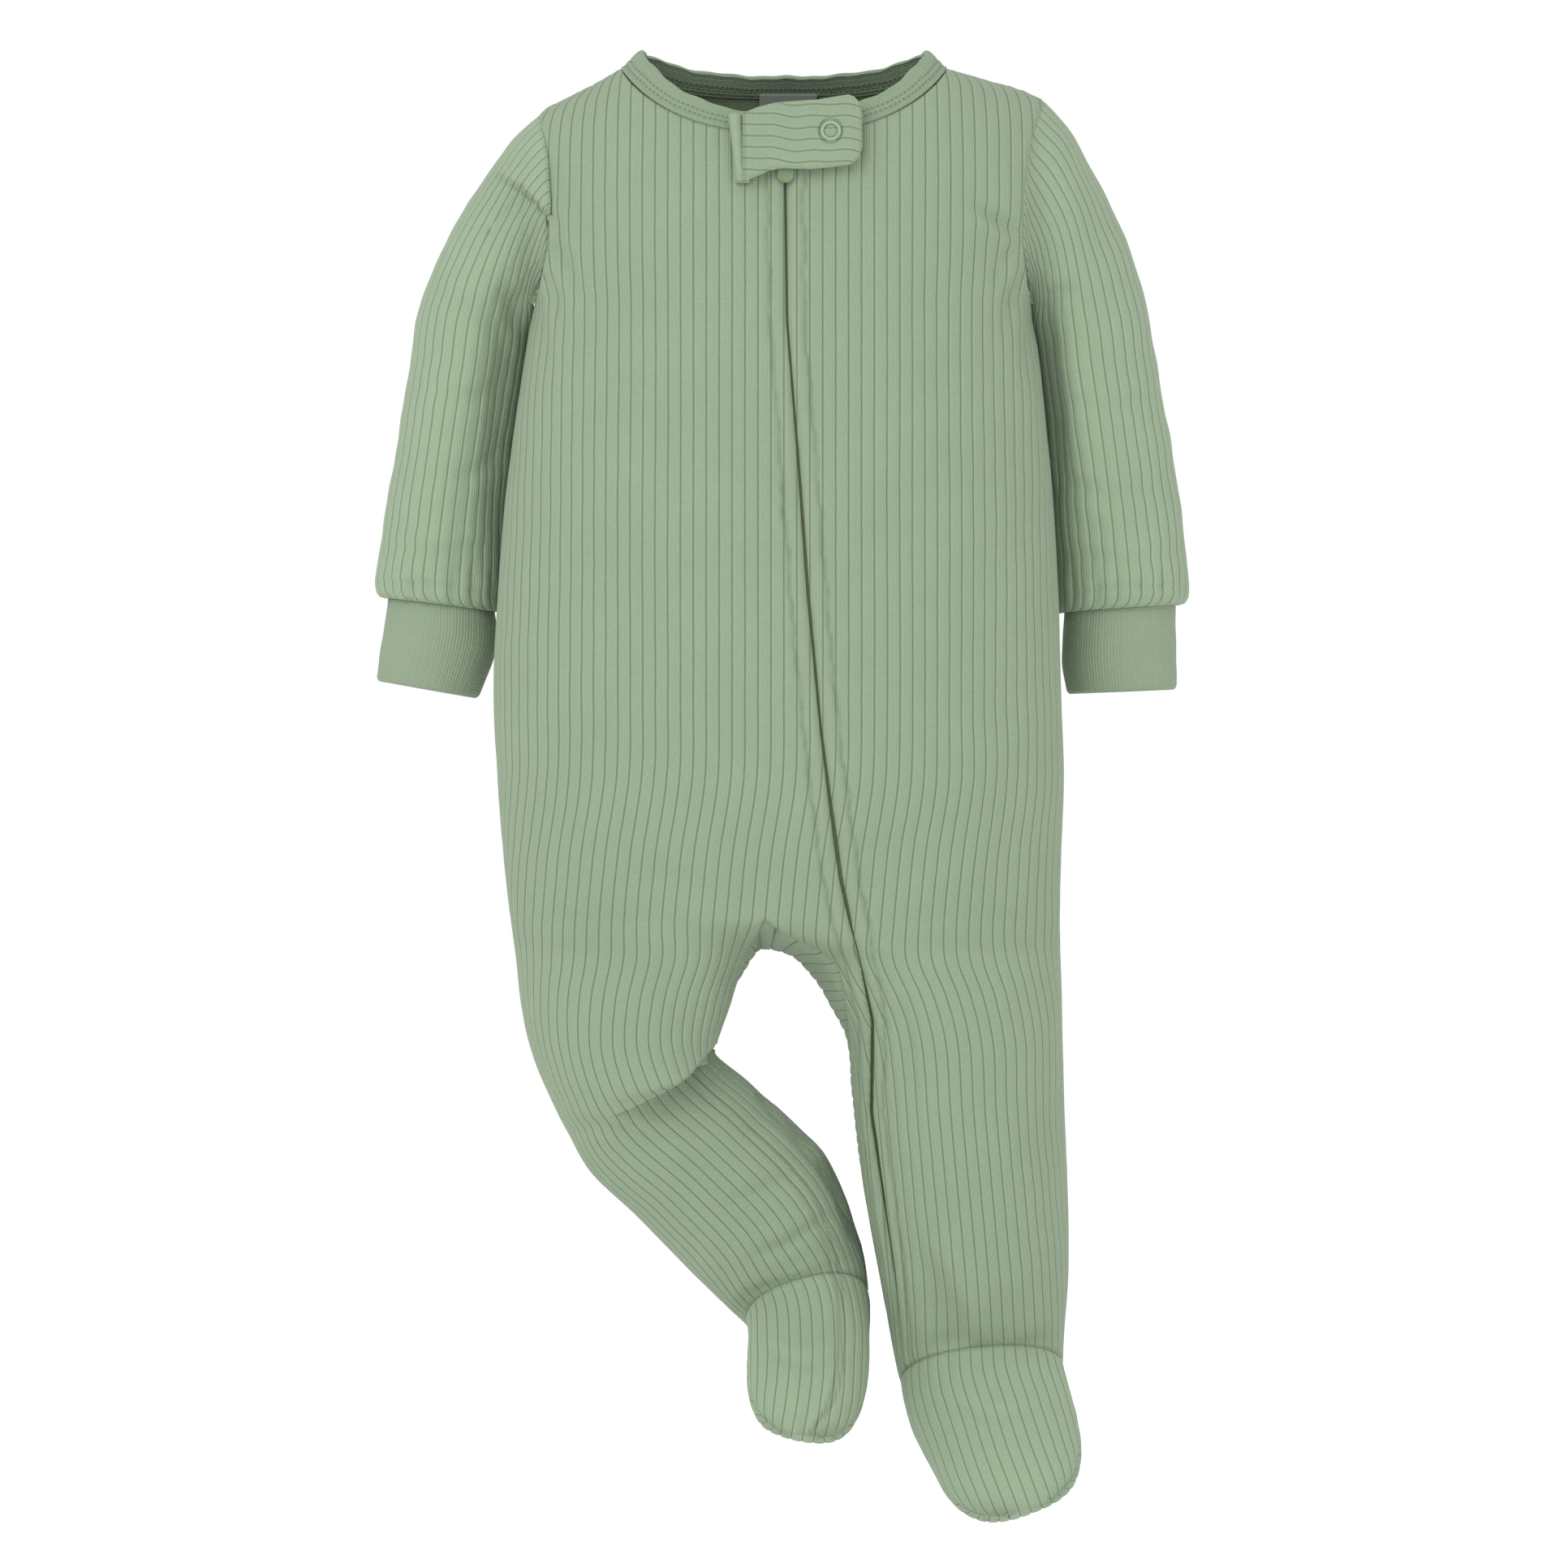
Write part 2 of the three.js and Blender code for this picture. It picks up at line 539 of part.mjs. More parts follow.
// A wall from rows with equally many points each. raise(row, column) lifts an outer point, only
// every innerStep-th point has an inner one, and seamAxis(row) keeps two rims face to face.
function gridWall(rows, { thick, raise = () => 0, innerStep = 1, closed = false, outward, seamAxis }) {
  const columns = rows[0].length;
  const last = columns - 1;
  const wrap = (column) => (closed ? (column + last) % last : Math.min(Math.max(column, 0), last));
  const samples = rows.map((points, r) => {
    const outer = [];
    const inner = [];
    const above = rows[Math.max(r - 1, 0)];
    const below = rows[Math.min(r + 1, rows.length - 1)];
    for (let c = 0; c < columns; c += 1) {
      const across = points[wrap(c + 1)].clone().sub(points[wrap(c - 1)]);
      const normal = across.cross(above[c].clone().sub(below[c]));
      if (seamAxis && (c === 0 || c === last)) {
        normal.projectOnPlane(seamAxis(r));
      }
      normal.normalize().multiplyScalar(Math.sign(normal.dot(outward(points[c], r))) || 1);
      const column = closed ? c % last : c;
      outer.push({ key: c, at: points[c].clone().addScaledVector(normal, raise(r, column)) });
      if (c % innerStep === 0 || c === last) {
        inner.push({ key: c, at: points[c].clone().addScaledVector(normal, -thick) });
      }
    }
    return { outer, inner };
  });
  return solidFrom(wallFaces(samples, { closed }));
}

const yokeLevels = YOKE_SHARES.map((share) => ({ share }));
const torsoLevels = TORSO_STEPS.map((step) => ({ step }));

function legLevels(half) {
  return half.leg.map((row, i) => ({ step: CROTCH_STEP + 1 + i }));
}

// The key of a leg panel's inner end, at the gusset or the inner leg seam.
function innerKey(faceName, level, sign) {
  const seam = MIDDLE_KEY + sign * NUDGE * 3;
  return MIDDLE_KEY + (sign * SEAM_GAP) / 2 / surfaceFrame(faceName, level, seam).speed;
}

function frontRightPanel() {
  const trunk = [...yokeLevels, ...torsoLevels].map((level) => {
    const from = outerKey("front", level, -1);
    return panelRow("front", level, from, zipKey(level, -ZIP.gap / 2));
  });
  const crotch = trunk.at(-1);
  const leg = legLevels(HALVES.right).map((level) => {
    return panelRow("front", level, outerKey("front", level, -1), innerKey("front", level, -1));
  });
  const strip = legLevels(HALVES.left).map((level) => {
    return panelRow("front", level, innerKey("front", level, 1), zipKey(level, -ZIP.gap / 2));
  });
  return solidFrom([
    ...wallFaces(trunk, { bottomRim: false }),
    ...wallFaces([partOfRow(crotch, 0, MIDDLE_KEY), ...leg], { topRim: false }),
    ...wallFaces([partOfRow(crotch, MIDDLE_KEY, LAST_KEY), ...strip], { topRim: false }),
  ]);
}

function frontLeftPanel() {
  const levels = [...yokeLevels, ...torsoLevels, ...legLevels(HALVES.left)];
  const rows = levels.map((level) => {
    return panelRow("front", level, zipKey(level, ZIP.gap / 2), outerKey("front", level, 1));
  });
  return solidFrom(wallFaces(rows));
}

function backPanel() {
  const trunk = [...yokeLevels, ...torsoLevels].map((level) => {
    return panelRow("back", level, outerKey("back", level, -1), outerKey("back", level, 1));
  });
  const crotch = trunk.at(-1);
  const right = legLevels(HALVES.right).map((level) => {
    return panelRow("back", level, outerKey("back", level, -1), innerKey("back", level, -1));
  });
  const left = legLevels(HALVES.left).map((level) => {
    return panelRow("back", level, innerKey("back", level, 1), outerKey("back", level, 1));
  });
  return solidFrom([
    ...wallFaces(trunk, { bottomRim: false }),
    ...wallFaces([partOfRow(crotch, 0, MIDDLE_KEY), ...right], { topRim: false }),
    ...wallFaces([partOfRow(crotch, MIDDLE_KEY, LAST_KEY), ...left], { topRim: false }),
  ]);
}

// The gusset is a saddle: rows across it run from the front seam under the crotch to the back seam.
function gussetRow(half, row) {
  const { centre, side, front } = legAxes(half, row);
  const trim = GUSSET.trim / row.wide;
  const shift = front.clone().multiplyScalar(row.out).add(new THREE.Vector3(0, 0, row.up));
  const points = [];
  for (let i = 0; i <= GUSSET.columns; i += 1) {
    const across = (2 * i) / GUSSET.columns - 1;
    const angle = Math.PI - (radians(row.gusset) - trim) * Math.abs(across);
    const deep = across < 0 ? row.front : -row.back;
    const sideways = -row.wide * Math.abs(Math.cos(angle)) ** (2 / ROUNDNESS);
    const outwards = deep * Math.max(Math.sin(angle), 0) ** (2 / ROUNDNESS);
    const point = centre.clone().addScaledVector(side, sideways).addScaledVector(front, outwards);
    points.push(point.add(shift));
  }
  return points;
}

function gussetCrest() {
  const { front, back } = HALVES.right.torso.at(-1);
  const points = [];
  for (let i = 0; i <= GUSSET.columns; i += 1) {
    const share = i / GUSSET.columns;
    const y = lerp(GUSSET.inset - front, back - GUSSET.inset, share);
    const z = CROTCH.topZ - GUSSET.sink + (CROTCH.archZ - CROTCH.topZ) * Math.sin(Math.PI * share);
    points.push(new THREE.Vector3(CROTCH.x, y, z));
  }
  return points;
}

function crotchGusset() {
  const rowsOf = (half) => half.leg.filter((row) => row.gusset >= GUSSET.leastDeg).map((row) => gussetRow(half, row));
  const rows = [...rowsOf(HALVES.right).reverse(), gussetCrest(), ...rowsOf(HALVES.left)];
  const crestRow = rowsOf(HALVES.right).length;
  const outward = (point, r) => {
    if (r === crestRow) {
      return new THREE.Vector3(0, 0, -1);
    }
    return new THREE.Vector3(r < crestRow ? 1 : -1, 0, -0.5);
  };
  return gridWall(rows, { thick: CLOTH, outward });
}

// Foot: the top runs on from the front of the leg, the sole from its back.
function footPiece(halfName, faceName) {
  const half = HALVES[halfName];
  const curves = CURVES[faceName][halfName];
  const firstStep = CROTCH_STEP + half.leg.length;
  const rows = [];
  for (let i = 0; i <= half.foot.length; i += 1) {
    const step = i === 0 ? firstStep + ANKLE_STEP : firstStep + i;
    const points = [];
    const columns = 2 * FOOT_RIBS;
    const trim = SEAM_GAP / 2 / curves[firstStep + i].getLength();
    for (let c = 0; c <= columns; c += 1) {
      points.push(bodyPoint(curves, lerp(trim, 1 - trim, c / columns), step));
    }
    rows.push(points);
  }
  const axes = [half.leg.at(-1), ...half.foot].map((row) => legAxes(half, row));
  const outward = (point, r) => point.clone().sub(axes[r].centre);
  const seamAxis = (r) => axes[r].front;
  const raise = (r, column) => (column % 2 === 1 ? RIB_HEIGHT : 0);
  return gridWall(rows, { thick: CLOTH, raise, innerStep: 4, outward, seamAxis });
}

// The armhole as a curve from the shoulder down to the armpit, along the front or the back.
function armholeCurve(half, faceName) {
  const points = [];
  for (let i = 0; i <= ARMHOLE_POINTS; i += 1) {
    const share = 1 - i / ARMHOLE_POINTS;
    const x = half.sign * armholeAt(half, share, "edge");
    points.push(yokeSurface(faceName, x, lerp(ARMPIT_Z, topEdge(x, faceName), share)));
  }
  return new THREE.CatmullRomCurve3(points);
}

function ringPoint(half, ring, turn) {
  const angle = 2 * Math.PI * turn;
  const share = (1 - Math.cos(angle)) / 2;
  const x = half.sign * lerp(ring.outX, ring.inX, share);
  return new THREE.Vector3(x, ring.y - ring.deep * Math.sin(angle), lerp(ring.outZ, ring.inZ, share));
}

function armholePoint(half, curves, turn) {
  const point = turn <= 0.5 ? curves.front.getPointAt(2 * turn) : curves.back.getPointAt(2 - 2 * turn);
  const low = ((1 - Math.cos(2 * Math.PI * turn)) / 2) ** SLEEVE_START.power;
  const out = SLEEVE_START.out + SLEEVE_START.underarm * low;
  return point.add(new THREE.Vector3(half.sign * out, 0, 0));
}

function sleeve(halfName) {
  const half = HALVES[halfName];
  const curves = { front: armholeCurve(half, "front"), back: armholeCurve(half, "back") };
  const columns = 2 * SLEEVE_RIBS;
  const rows = [];
  for (const ring of [{ round: 0 }, ...SLEEVES[halfName]]) {
    const points = [];
    for (let c = 0; c <= columns; c += 1) {
      const turn = (c % columns) / columns;
      const point = armholePoint(half, curves, turn);
      points.push(ring.round > 0 ? point.lerp(ringPoint(half, ring, turn), ring.round) : point);
    }
    rows.push(points);
  }
  const middles = rows.map((points) => points[0].clone().add(points[columns / 2]).multiplyScalar(0.5));
  const outward = (point, r) => point.clone().sub(middles[r]);
  const raise = (r, column) => (column % 2 === 1 ? RIB_HEIGHT : 0);
  return gridWall(rows, { thick: CLOTH, raise, innerStep: 4, closed: true, outward });
}

function cuff(halfName) {
  const half = HALVES[halfName];
  const columns = CUFF_COLUMNS;
  const rows = CUFFS[halfName].map((ring) => {
    return Array.from({ length: columns + 1 }, (_, c) => ringPoint(half, ring, (c % columns) / columns));
  });
  const middles = rows.map((points) => points[0].clone().add(points[columns / 2]).multiplyScalar(0.5));
  const outward = (point, r) => point.clone().sub(middles[r]);
  return gridWall(rows, { thick: CLOTH, closed: true, outward });
}

// The neckband stands on the neckline from the zip round the back to the zip.
function neckband() {
  const stops = [];
  const { columns } = BAND;
  const zip = { right: zipX(0) - ZIP.gap / 2, left: zipX(0) + ZIP.gap / 2 };
  for (let i = 0; i <= columns; i += 1) {
    stops.push({ face: "front", x: lerp(zip.right, -NECK.half, Math.sin((Math.PI / 2) * (i / columns))) });
  }
  for (let i = 1; i < 2 * columns; i += 1) {
    stops.push({ face: "back", x: -NECK.half * Math.cos((Math.PI * i) / (2 * columns)) });
  }
  for (let i = 0; i <= columns; i += 1) {
    stops.push({ face: "front", x: lerp(NECK.half, zip.left, 1 - Math.cos((Math.PI / 2) * (i / columns))) });
  }
  const base = stops.map(({ face, x }) => yokeSurface(face, x, topEdge(x, face)));
  const inset = (point, height) => {
    const inwards = new THREE.Vector3(-point.x, -point.y, 0).normalize();
    const rise = new THREE.Vector3(0, 0, 1).addScaledVector(inwards, BAND.lean);
    return point.clone().addScaledVector(rise.normalize(), height);
  };
  const rows = [BAND.rise + BAND.tall, BAND.rise + BAND.tall / 2, BAND.rise].map((height) => {
    return base.map((point) => inset(point, height));
  });
  const outward = (point) => new THREE.Vector3(point.x, point.y, 0);
  return gridWall(rows, { thick: BAND.thick, outward });
}

// A strip under or over the zip line: columns are distances along the front from the line,
// and depth is how far the strip's outside lies under the panels' base surface.
function zipStrip(levels, distances, depths, thick) {
  const rows = levels.map((level) => {
    const middle = zipKey(level, 0);
    const { speed } = surfaceFrame("front", level, middle);
    const lowest = level.step > CROTCH_STEP ? MIDDLE_KEY + ZIP.clear / speed : 0;
    return distances.map((distance, i) => {
      const key = Math.max(middle + distance / speed, lowest + 0.01 * i);
      const { point, normal } = surfaceFrame("front", level, key);
      return point.addScaledVector(normal, -depths[i]);
    });
  });
  return gridWall(rows, { thick, outward: () => new THREE.Vector3(0, -1, 0) });
}

const zipLevels = [...yokeLevels.slice(1), ...torsoLevels, ...legLevels(HALVES.left).slice(0, -1)];
const UNDER_CLOTH = CLOTH + 2 * SEAM_GAP; // clear of the plain chords of the panels' inside

function zipTape(sign) {
  const distances = [0, 1, 2, 3].map((i) => sign * lerp(ZIP.tapeFrom, ZIP.tapeTo, i / 3));
  distances.sort((a, b) => a - b);
  return zipStrip(zipLevels, distances, distances.map(() => ZIP.tapeDepth), ZIP.tape);
}

function zipTeeth() {
  const distances = [-ZIP.coilHalf, 0, ZIP.coilHalf];
  return zipStrip(zipLevels, distances, [UNDER_CLOTH, UNDER_CLOTH - SEAM_GAP / 2, UNDER_CLOTH], ZIP.coil);
}

// The outer face of the panels at a place on the chest, carried on above the neckline.
function chestPoint(x, z, lift) {
  const point = yokeSurface("front", x, z);
  const right = yokeSurface("front", x + NUDGE, z);
  const up = yokeSurface("front", x, z + NUDGE);
  const normal = right.sub(point).cross(up.sub(point)).normalize();
  return point.addScaledVector(normal, lift);
}

function flapPiece() {
  const rows = [];
  const steps = 2 * FLAP.ribs;
  const first = FLAP_ROWS[0].z;
  const last = FLAP_ROWS.at(-1).z;
  for (let i = 0; i <= steps; i += 1) {
    const z = lerp(first, last, i / steps);
    const left = readTable(FLAP_ROWS, "z", z, "left");
    const right = readTable(FLAP_ROWS, "z", z, "right");
    const row = [];
    for (let c = 0; c <= FLAP.columns; c += 1) {
      row.push(chestPoint(lerp(left, right, c / FLAP.columns), z, FLAP.lift + FLAP.thick));
    }
    rows.push(row);
  }
  const raise = (r) => (r % 2 === 1 ? RIB_HEIGHT : 0);
  return gridWall(rows, { thick: FLAP.thick, raise, outward: () => new THREE.Vector3(0, -1, 0) });
}

function chestPlate({ left, right, topZ, bottomZ, lift, thick, rows, columns }) {
  const points = [];
  for (let i = 0; i <= rows; i += 1) {
    const z = lerp(topZ, bottomZ, i / rows);
    const row = [];
    for (let c = 0; c <= columns; c += 1) {
      row.push(chestPoint(lerp(left, right, c / columns), z, lift + thick));
    }
    points.push(row);
  }
  return gridWall(points, { thick, outward: () => new THREE.Vector3(0, -1, 0) });
}

function neckLabel() {
  const rows = [];
  for (let i = 0; i <= LABEL.steps; i += 1) {
    const z = lerp(LABEL.topZ, LABEL.bottomZ, i / LABEL.steps);
    const row = [];
    for (let c = 0; c <= LABEL.steps; c += 1) {
      const point = yokeSurface("back", lerp(LABEL.left, LABEL.right, c / LABEL.steps), z);
      row.push(point.add(new THREE.Vector3(0, -CLOTH - LABEL.lift - LABEL.thick, 0)));
    }
    rows.push(row);
  }
  return gridWall(rows, { thick: LABEL.thick, outward: () => new THREE.Vector3(0, -1, 0) });
}

// A turned piece on the chest whose axis stands out of the cloth. profile holds radius and height.
function turnedOnChest(profile, x, z) {
  const geometry = new THREE.LatheGeometry(profile.map(([r, h]) => new THREE.Vector2(r, h)), TURNED_SIDES);
  const outwards = chestPoint(x, z, 1).sub(chestPoint(x, z, 0)).normalize();
  const turn = new THREE.Quaternion().setFromUnitVectors(new THREE.Vector3(0, 1, 0), outwards);
  geometry.applyQuaternion(turn);
  const foot = chestPoint(x, z, 0);
  geometry.translate(foot.x, foot.y, foot.z);
  return geometry;
}

function snapRing() {
  const { outer, inner, tall, rim, crown } = SNAP;
  const base = FLAP.lift + FLAP.thick + RIB_HEIGHT + SEAM_GAP;
  const profile = [
    [inner, base],
    [outer, base],
    [outer, base + rim * tall],
    [lerp(inner, outer, crown), base + tall],
    [inner, base + crown * tall],
    [inner, base],
  ];
  return turnedOnChest(profile, SNAP.x, SNAP.z);
}

function snapStud() {
  const top = FLAP.lift - SEAM_GAP;
  const base = top - SNAP.studTall;
  const { stud, chamfer } = SNAP;
  const profile = [[0, base], [stud, base], [stud, top - chamfer], [stud - chamfer, top], [0, top]];
  return turnedOnChest(profile, SNAP.x, SNAP.z);
}

// A flat piece on the zip, drawn from above and pushed out, its back at a lift from the cloth.
function hardware(shape, topZ, lift, thick) {
  const geometry = new THREE.ExtrudeGeometry(shape, { depth: thick, bevelEnabled: false, curveSegments: 6 });
  geometry.rotateX(Math.PI / 2);
  const x = zipX(topZ);
  const seat = chestPoint(x, topZ, lift).y;
  const lower = chestPoint(x, topZ - SEAT_LENGTH, lift);
  geometry.translate(x, Math.min(seat, lower.y), topZ);
  return geometry;
}

function zipSlider() {
  const tall = SLIDER.topZ - SLIDER.bottomZ;
  const shape = new THREE.Shape();
  shape.moveTo(-SLIDER.wide / 2, 0);
  shape.lineTo(-SLIDER.narrow / 2, -tall);
  shape.lineTo(SLIDER.narrow / 2, -tall);
  shape.lineTo(SLIDER.wide / 2, 0);
  shape.closePath();
  return hardware(shape, SLIDER.topZ, SLIDER.lift, SLIDER.thick);
}

function zipPull() {
  const tall = PULL.hingeZ - PULL.bottomZ;
  const half = PULL.wide / 2;
  const shape = new THREE.Shape();
  shape.moveTo(-half, 0);
  shape.lineTo(-half, half - tall);
  shape.absarc(0, half - tall, half, Math.PI, 2 * Math.PI, false);
  shape.lineTo(half, 0);
  shape.closePath();
  return hardware(shape, PULL.hingeZ, PULL.lift, PULL.thick);
}

// Colours of the yarn-dyed jersey, of the zip and of the fittings.
const COLOURS = {
  jersey: 0x96a88e,
  sleeve: 0x98aa91,
  cuff: 0x92a38a,
  band: 0x8b9a84,
  tape: 0x7f9478,
  zip: 0x86a27b,
  label: 0x656f63,
};

function piece(name, geometry, colour, roughness = 0.9) {
  const material = new THREE.MeshStandardMaterial({ color: colour, roughness, metalness: 0 });
  const mesh = new THREE.Mesh(geometry, material);
  mesh.name = name;
  return mesh;
}

const sleepsuit = new THREE.Group();
sleepsuit.add(
  piece("front_right_panel", frontRightPanel(), COLOURS.jersey),
  piece("front_left_panel", frontLeftPanel(), COLOURS.jersey),
  piece("back_panel", backPanel(), COLOURS.jersey),
  piece("crotch_gusset", crotchGusset(), COLOURS.jersey),
  piece("neckband", neckband(), COLOURS.band),
  piece("zip_tape_right", zipTape(-1), COLOURS.tape),
  piece("zip_tape_left", zipTape(1), COLOURS.tape),
  piece("zip_teeth", zipTeeth(), COLOURS.zip, 0.5),
  piece("zip_slider", zipSlider(), COLOURS.zip, 0.4),
  piece("zip_pull", zipPull(), COLOURS.zip, 0.4),
  piece("zip_flap", flapPiece(), COLOURS.jersey),
  piece("flap_stay", chestPlate(STAY), COLOURS.jersey),
  piece("snap_ring", snapRing(), COLOURS.zip, 0.4),
  piece("snap_stud", snapStud(), COLOURS.zip, 0.4),
  piece("neck_label", neckLabel(), COLOURS.label),
);
for (const halfName of ["right", "left"]) {
  sleepsuit.add(
    piece(`sleeve_${halfName}`, sleeve(halfName), COLOURS.sleeve),
    piece(`cuff_${halfName}`, cuff(halfName), COLOURS.cuff),
    piece(`foot_top_${halfName}`, footPiece(halfName, "front"), COLOURS.jersey),
    piece(`sole_${halfName}`, footPiece(halfName, "back"), COLOURS.jersey),
  );
}

export default sleepsuit;
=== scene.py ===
from math import cos, pi, radians, sin

import bpy
import numpy as np
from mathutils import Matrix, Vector


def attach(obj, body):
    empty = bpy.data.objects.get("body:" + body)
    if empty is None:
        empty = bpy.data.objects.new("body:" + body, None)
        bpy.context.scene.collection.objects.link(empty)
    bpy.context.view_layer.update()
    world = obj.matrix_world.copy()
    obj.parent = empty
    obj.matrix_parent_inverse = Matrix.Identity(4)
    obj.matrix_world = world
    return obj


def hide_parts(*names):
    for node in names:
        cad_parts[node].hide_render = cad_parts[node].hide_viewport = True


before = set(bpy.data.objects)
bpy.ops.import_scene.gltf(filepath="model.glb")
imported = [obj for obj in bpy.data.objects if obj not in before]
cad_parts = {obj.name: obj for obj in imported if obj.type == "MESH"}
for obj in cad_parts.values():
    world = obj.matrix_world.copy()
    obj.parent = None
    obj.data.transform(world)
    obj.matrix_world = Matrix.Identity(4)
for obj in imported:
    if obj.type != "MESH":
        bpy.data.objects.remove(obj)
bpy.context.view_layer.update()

for name in ("Cube", "Light", "Camera"):
    if name in bpy.data.objects:
        bpy.data.objects.remove(bpy.data.objects[name])
mm = 0.001  # every size below is in millimetres, and meshes are made in metres

# Shape of the worn suit. The same sections as the cut pieces stand on.
shape = {
    "middleRib": 28,  # number of the rib that runs down the middle
    "pitch": 5.2,  # between two ribs of the body
    "legPitch": 4.6,
    "ribHeight": 0.55,
    "round": 2.2,
    "cloth": 1.3,
    "armpit": -97,
    "closing": 3,
    "step": 2.4,  # between rows of points
    "closeStep": 0.9,  # the same where the knee folds
}
neck = {
    "half": 66,  # of its width, where it meets the shoulders
    "side": -3,
    "frontDrop": 27,
    "backDrop": 9,
    "crown": 7,
    "front": (2.6, 0.8),  # powers of its curve
    "back": (3, 1),
}
crotch = {
    "x": -7.6,
    "top": -347,
    "arch": -358,
    "split": -280,  # below this the middle rib leans towards the crotch
    "step": 7,  # number of the torso's last section
}

torsoColumns = ("z", "outer", "front", "back")
legColumns = ("x", "y", "z", "lean", "pitch", "wide", "front", "back", "gusset", "out", "up")
halves = {
    "right": {
        "sign": -1,
        "shoulder": (100, -21),
        "edge": (101, 96, 94.5, 96, 100),
        "full": (101, 113, 118, 118, 118),
        "shown": (0.42, 0.16, 0.1, 0.1, 0.1, 0),
        "torso": (
            (-97, 101, 54, 46),
            (-135, 107, 57, 48),
            (-175, 112.3, 60, 50),
            (-215, 115.5, 62, 51),
            (-255, 117.3, 62, 52),
            (-290, 115.8, 58, 53),
            (-320, 113.5, 52, 50),
            (-347, 110.5, 46, 45),
        ),
        "leg": (
            (-60.5, -3, -363, 0, 0, 47.5, 44, 43, 42, 0, 0),
            (-64, -9, -380, 2, 0, 42, 43, 41, 34, 1, 0),
            (-65, -16, -397, 8, 0, 36.5, 42, 39, 24, 4, -2),
            (-61, -22, -412, 19, 0, 33, 40, 37, 14, 4, -5),
            (-57, -20, -419, 31, 0, 33, 37, 36, 8, -7, 2),
            (-51.5, -14, -427, 42, 0, 34.4, 34, 35, 3, -3, 0),
            (-32.5, -5, -444, 43, 0, 35.4, 33, 34, 0, 0, 0),
            (-9, 3, -468, 43, 3, 35.6, 32, 33, 0, 0, 0),
            (3, 5, -487, 34, 12, 31, 30, 34, 0, 0, 0),
            (9, 1, -503, 16, 28, 25.5, 24, 33, 0, 0, 0),
        ),
        "foot": (
            (10, -14, -515, 3, 44, 24.2, 19, 24, 0, 0, 0),
            (9.6, -30, -528, -3, 50, 24.4, 17, 18, 0, 0, 0),
            (8.6, -45, -540, -8, 52, 22.6, 14, 14, 0, 0, 0),
            (7.4, -56, -549, -10, 52, 17.5, 9, 9, 0, 0, 0),
            (6.4, -62, -554, -10, 52, 8, 0.7, 0.7, 0, 0, 0),
        ),
    },
    "left": {
        "sign": 1,
        "shoulder": (106, -15),
        "edge": (100, 97, 97, 100, 106),
        "full": (100, 113, 120, 122, 122),
        "shown": (1, 0.85, 0.35, 0.1, 0),
        "torso": (
            (-97, 100, 54, 46),
            (-135, 104.5, 57, 48),
            (-175, 108.5, 60, 50),
            (-215, 110.8, 62, 51),
            (-255, 111.8, 62, 52),
            (-290, 113, 58, 53),
            (-320, 112, 52, 50),
            (-347, 111.5, 46, 45),
        ),
        "leg": (
            (58.7, -1, -363, 0, 0, 53, 44, 43, 42, 0, 0),
            (64.8, -2, -379, 0, 0, 47.3, 43, 41, 36, 0, 0),
            (69.3, -3, -398, 0, 0, 43.2, 42, 39, 26, 0, 0),
            (71, -3, -425, 2, 0, 42.2, 40, 38, 12, 0, 0),
            (74, -2, -458, 4, 0, 40.6, 38, 37, 3, 0, 0),
            (77, 0, -490, 3, 0, 38, 35, 35, 0, 0, 0),
            (78.5, 2, -514, 3, 8, 35, 30, 35, 0, 0, 0),
            (80, -2, -530, 6, 26, 33, 24, 34, 0, 0, 0),
        ),
        "foot": (
            (83, -17, -543, 14, 42, 32.6, 20, 26, 0, 0, 0),
            (88, -34, -556, 18, 48, 31, 18, 20, 0, 0, 0),
            (92.5, -51, -569, 20, 50, 28, 15, 15, 0, 0, 0),
            (96, -63, -578, 20, 50, 21, 9.5, 9.5, 0, 0, 0),
            (98, -70, -583, 20, 50, 10, 0.7, 0.7, 0, 0, 0),
        ),
    },
}
zipLine = (
    (10, 0.6), (-54, 0.6), (-107, 1.3), (-160, 5.6), (-217, 9.8), (-271, 14.9), (-299, 18.5),
    (-331, 23), (-357, 28.7), (-388, 35), (-425, 34.5), (-451, 38.3), (-490, 44), (-560, 52),
)
# How far the zip's two edges stand apart, by height.
zipGap = (
    (10, 1.1), (-54, 1.1), (-120, 0.8), (-200, 1.3), (-270, 1.0), (-320, 1.7), (-345, 1.4), (-354, 0.4),
    (-365, 0.4), (-376, 1.1), (-400, 1.7), (-430, 1.9), (-455, 1.4), (-490, 0.7), (-505, 0.4), (-560, 0.3),
)
# Where cloth hangs over itself: a line on the front, seen as x and z, with the cloth on one side of it
# over the other, how far over and out it hangs, how deep the other side lies, how far that reaches
# and how soft its lip is.
overhangs = {
    "knee": {
        "line": (
            -8, -378, -20, -382, -29, -394, -34, -401, -39, -407, -46, -411.5,
            -55, -417.5, -62, -422, -74, -428,
        ),
        "side": 1,
        "over": 3.0,
        "rise": 2.7,
        "sink": 7,
        "reach": 10,
        "lip": 0.9,
        "fades": (0.66, 0.98),
        "front": (8, 26),
    },
    "sleeveRight": {
        "line": (-90, -70, -95, -64, -100, -58, -106.6, -52, -116, -46, -127, -38),
        "side": 1,
        "over": 1.0,
        "rise": 1.8,
        "sink": 8,
        "reach": 22,
        "lip": 4,
        "fades": (0.35, 0.95),
        "front": (-14, 12),
    },
}

# One rib across: share of its width, height as a share of the full one.
ribProfile = ((0, 0.0), (0.06, 0.42), (0.14, 0.86), (0.38, 1.0), (0.64, 1.0), (0.86, 0.86), (0.94, 0.42))
ribShares = np.array([share for share, height in ribProfile])
ribHeights = np.array([height for share, height in ribProfile])


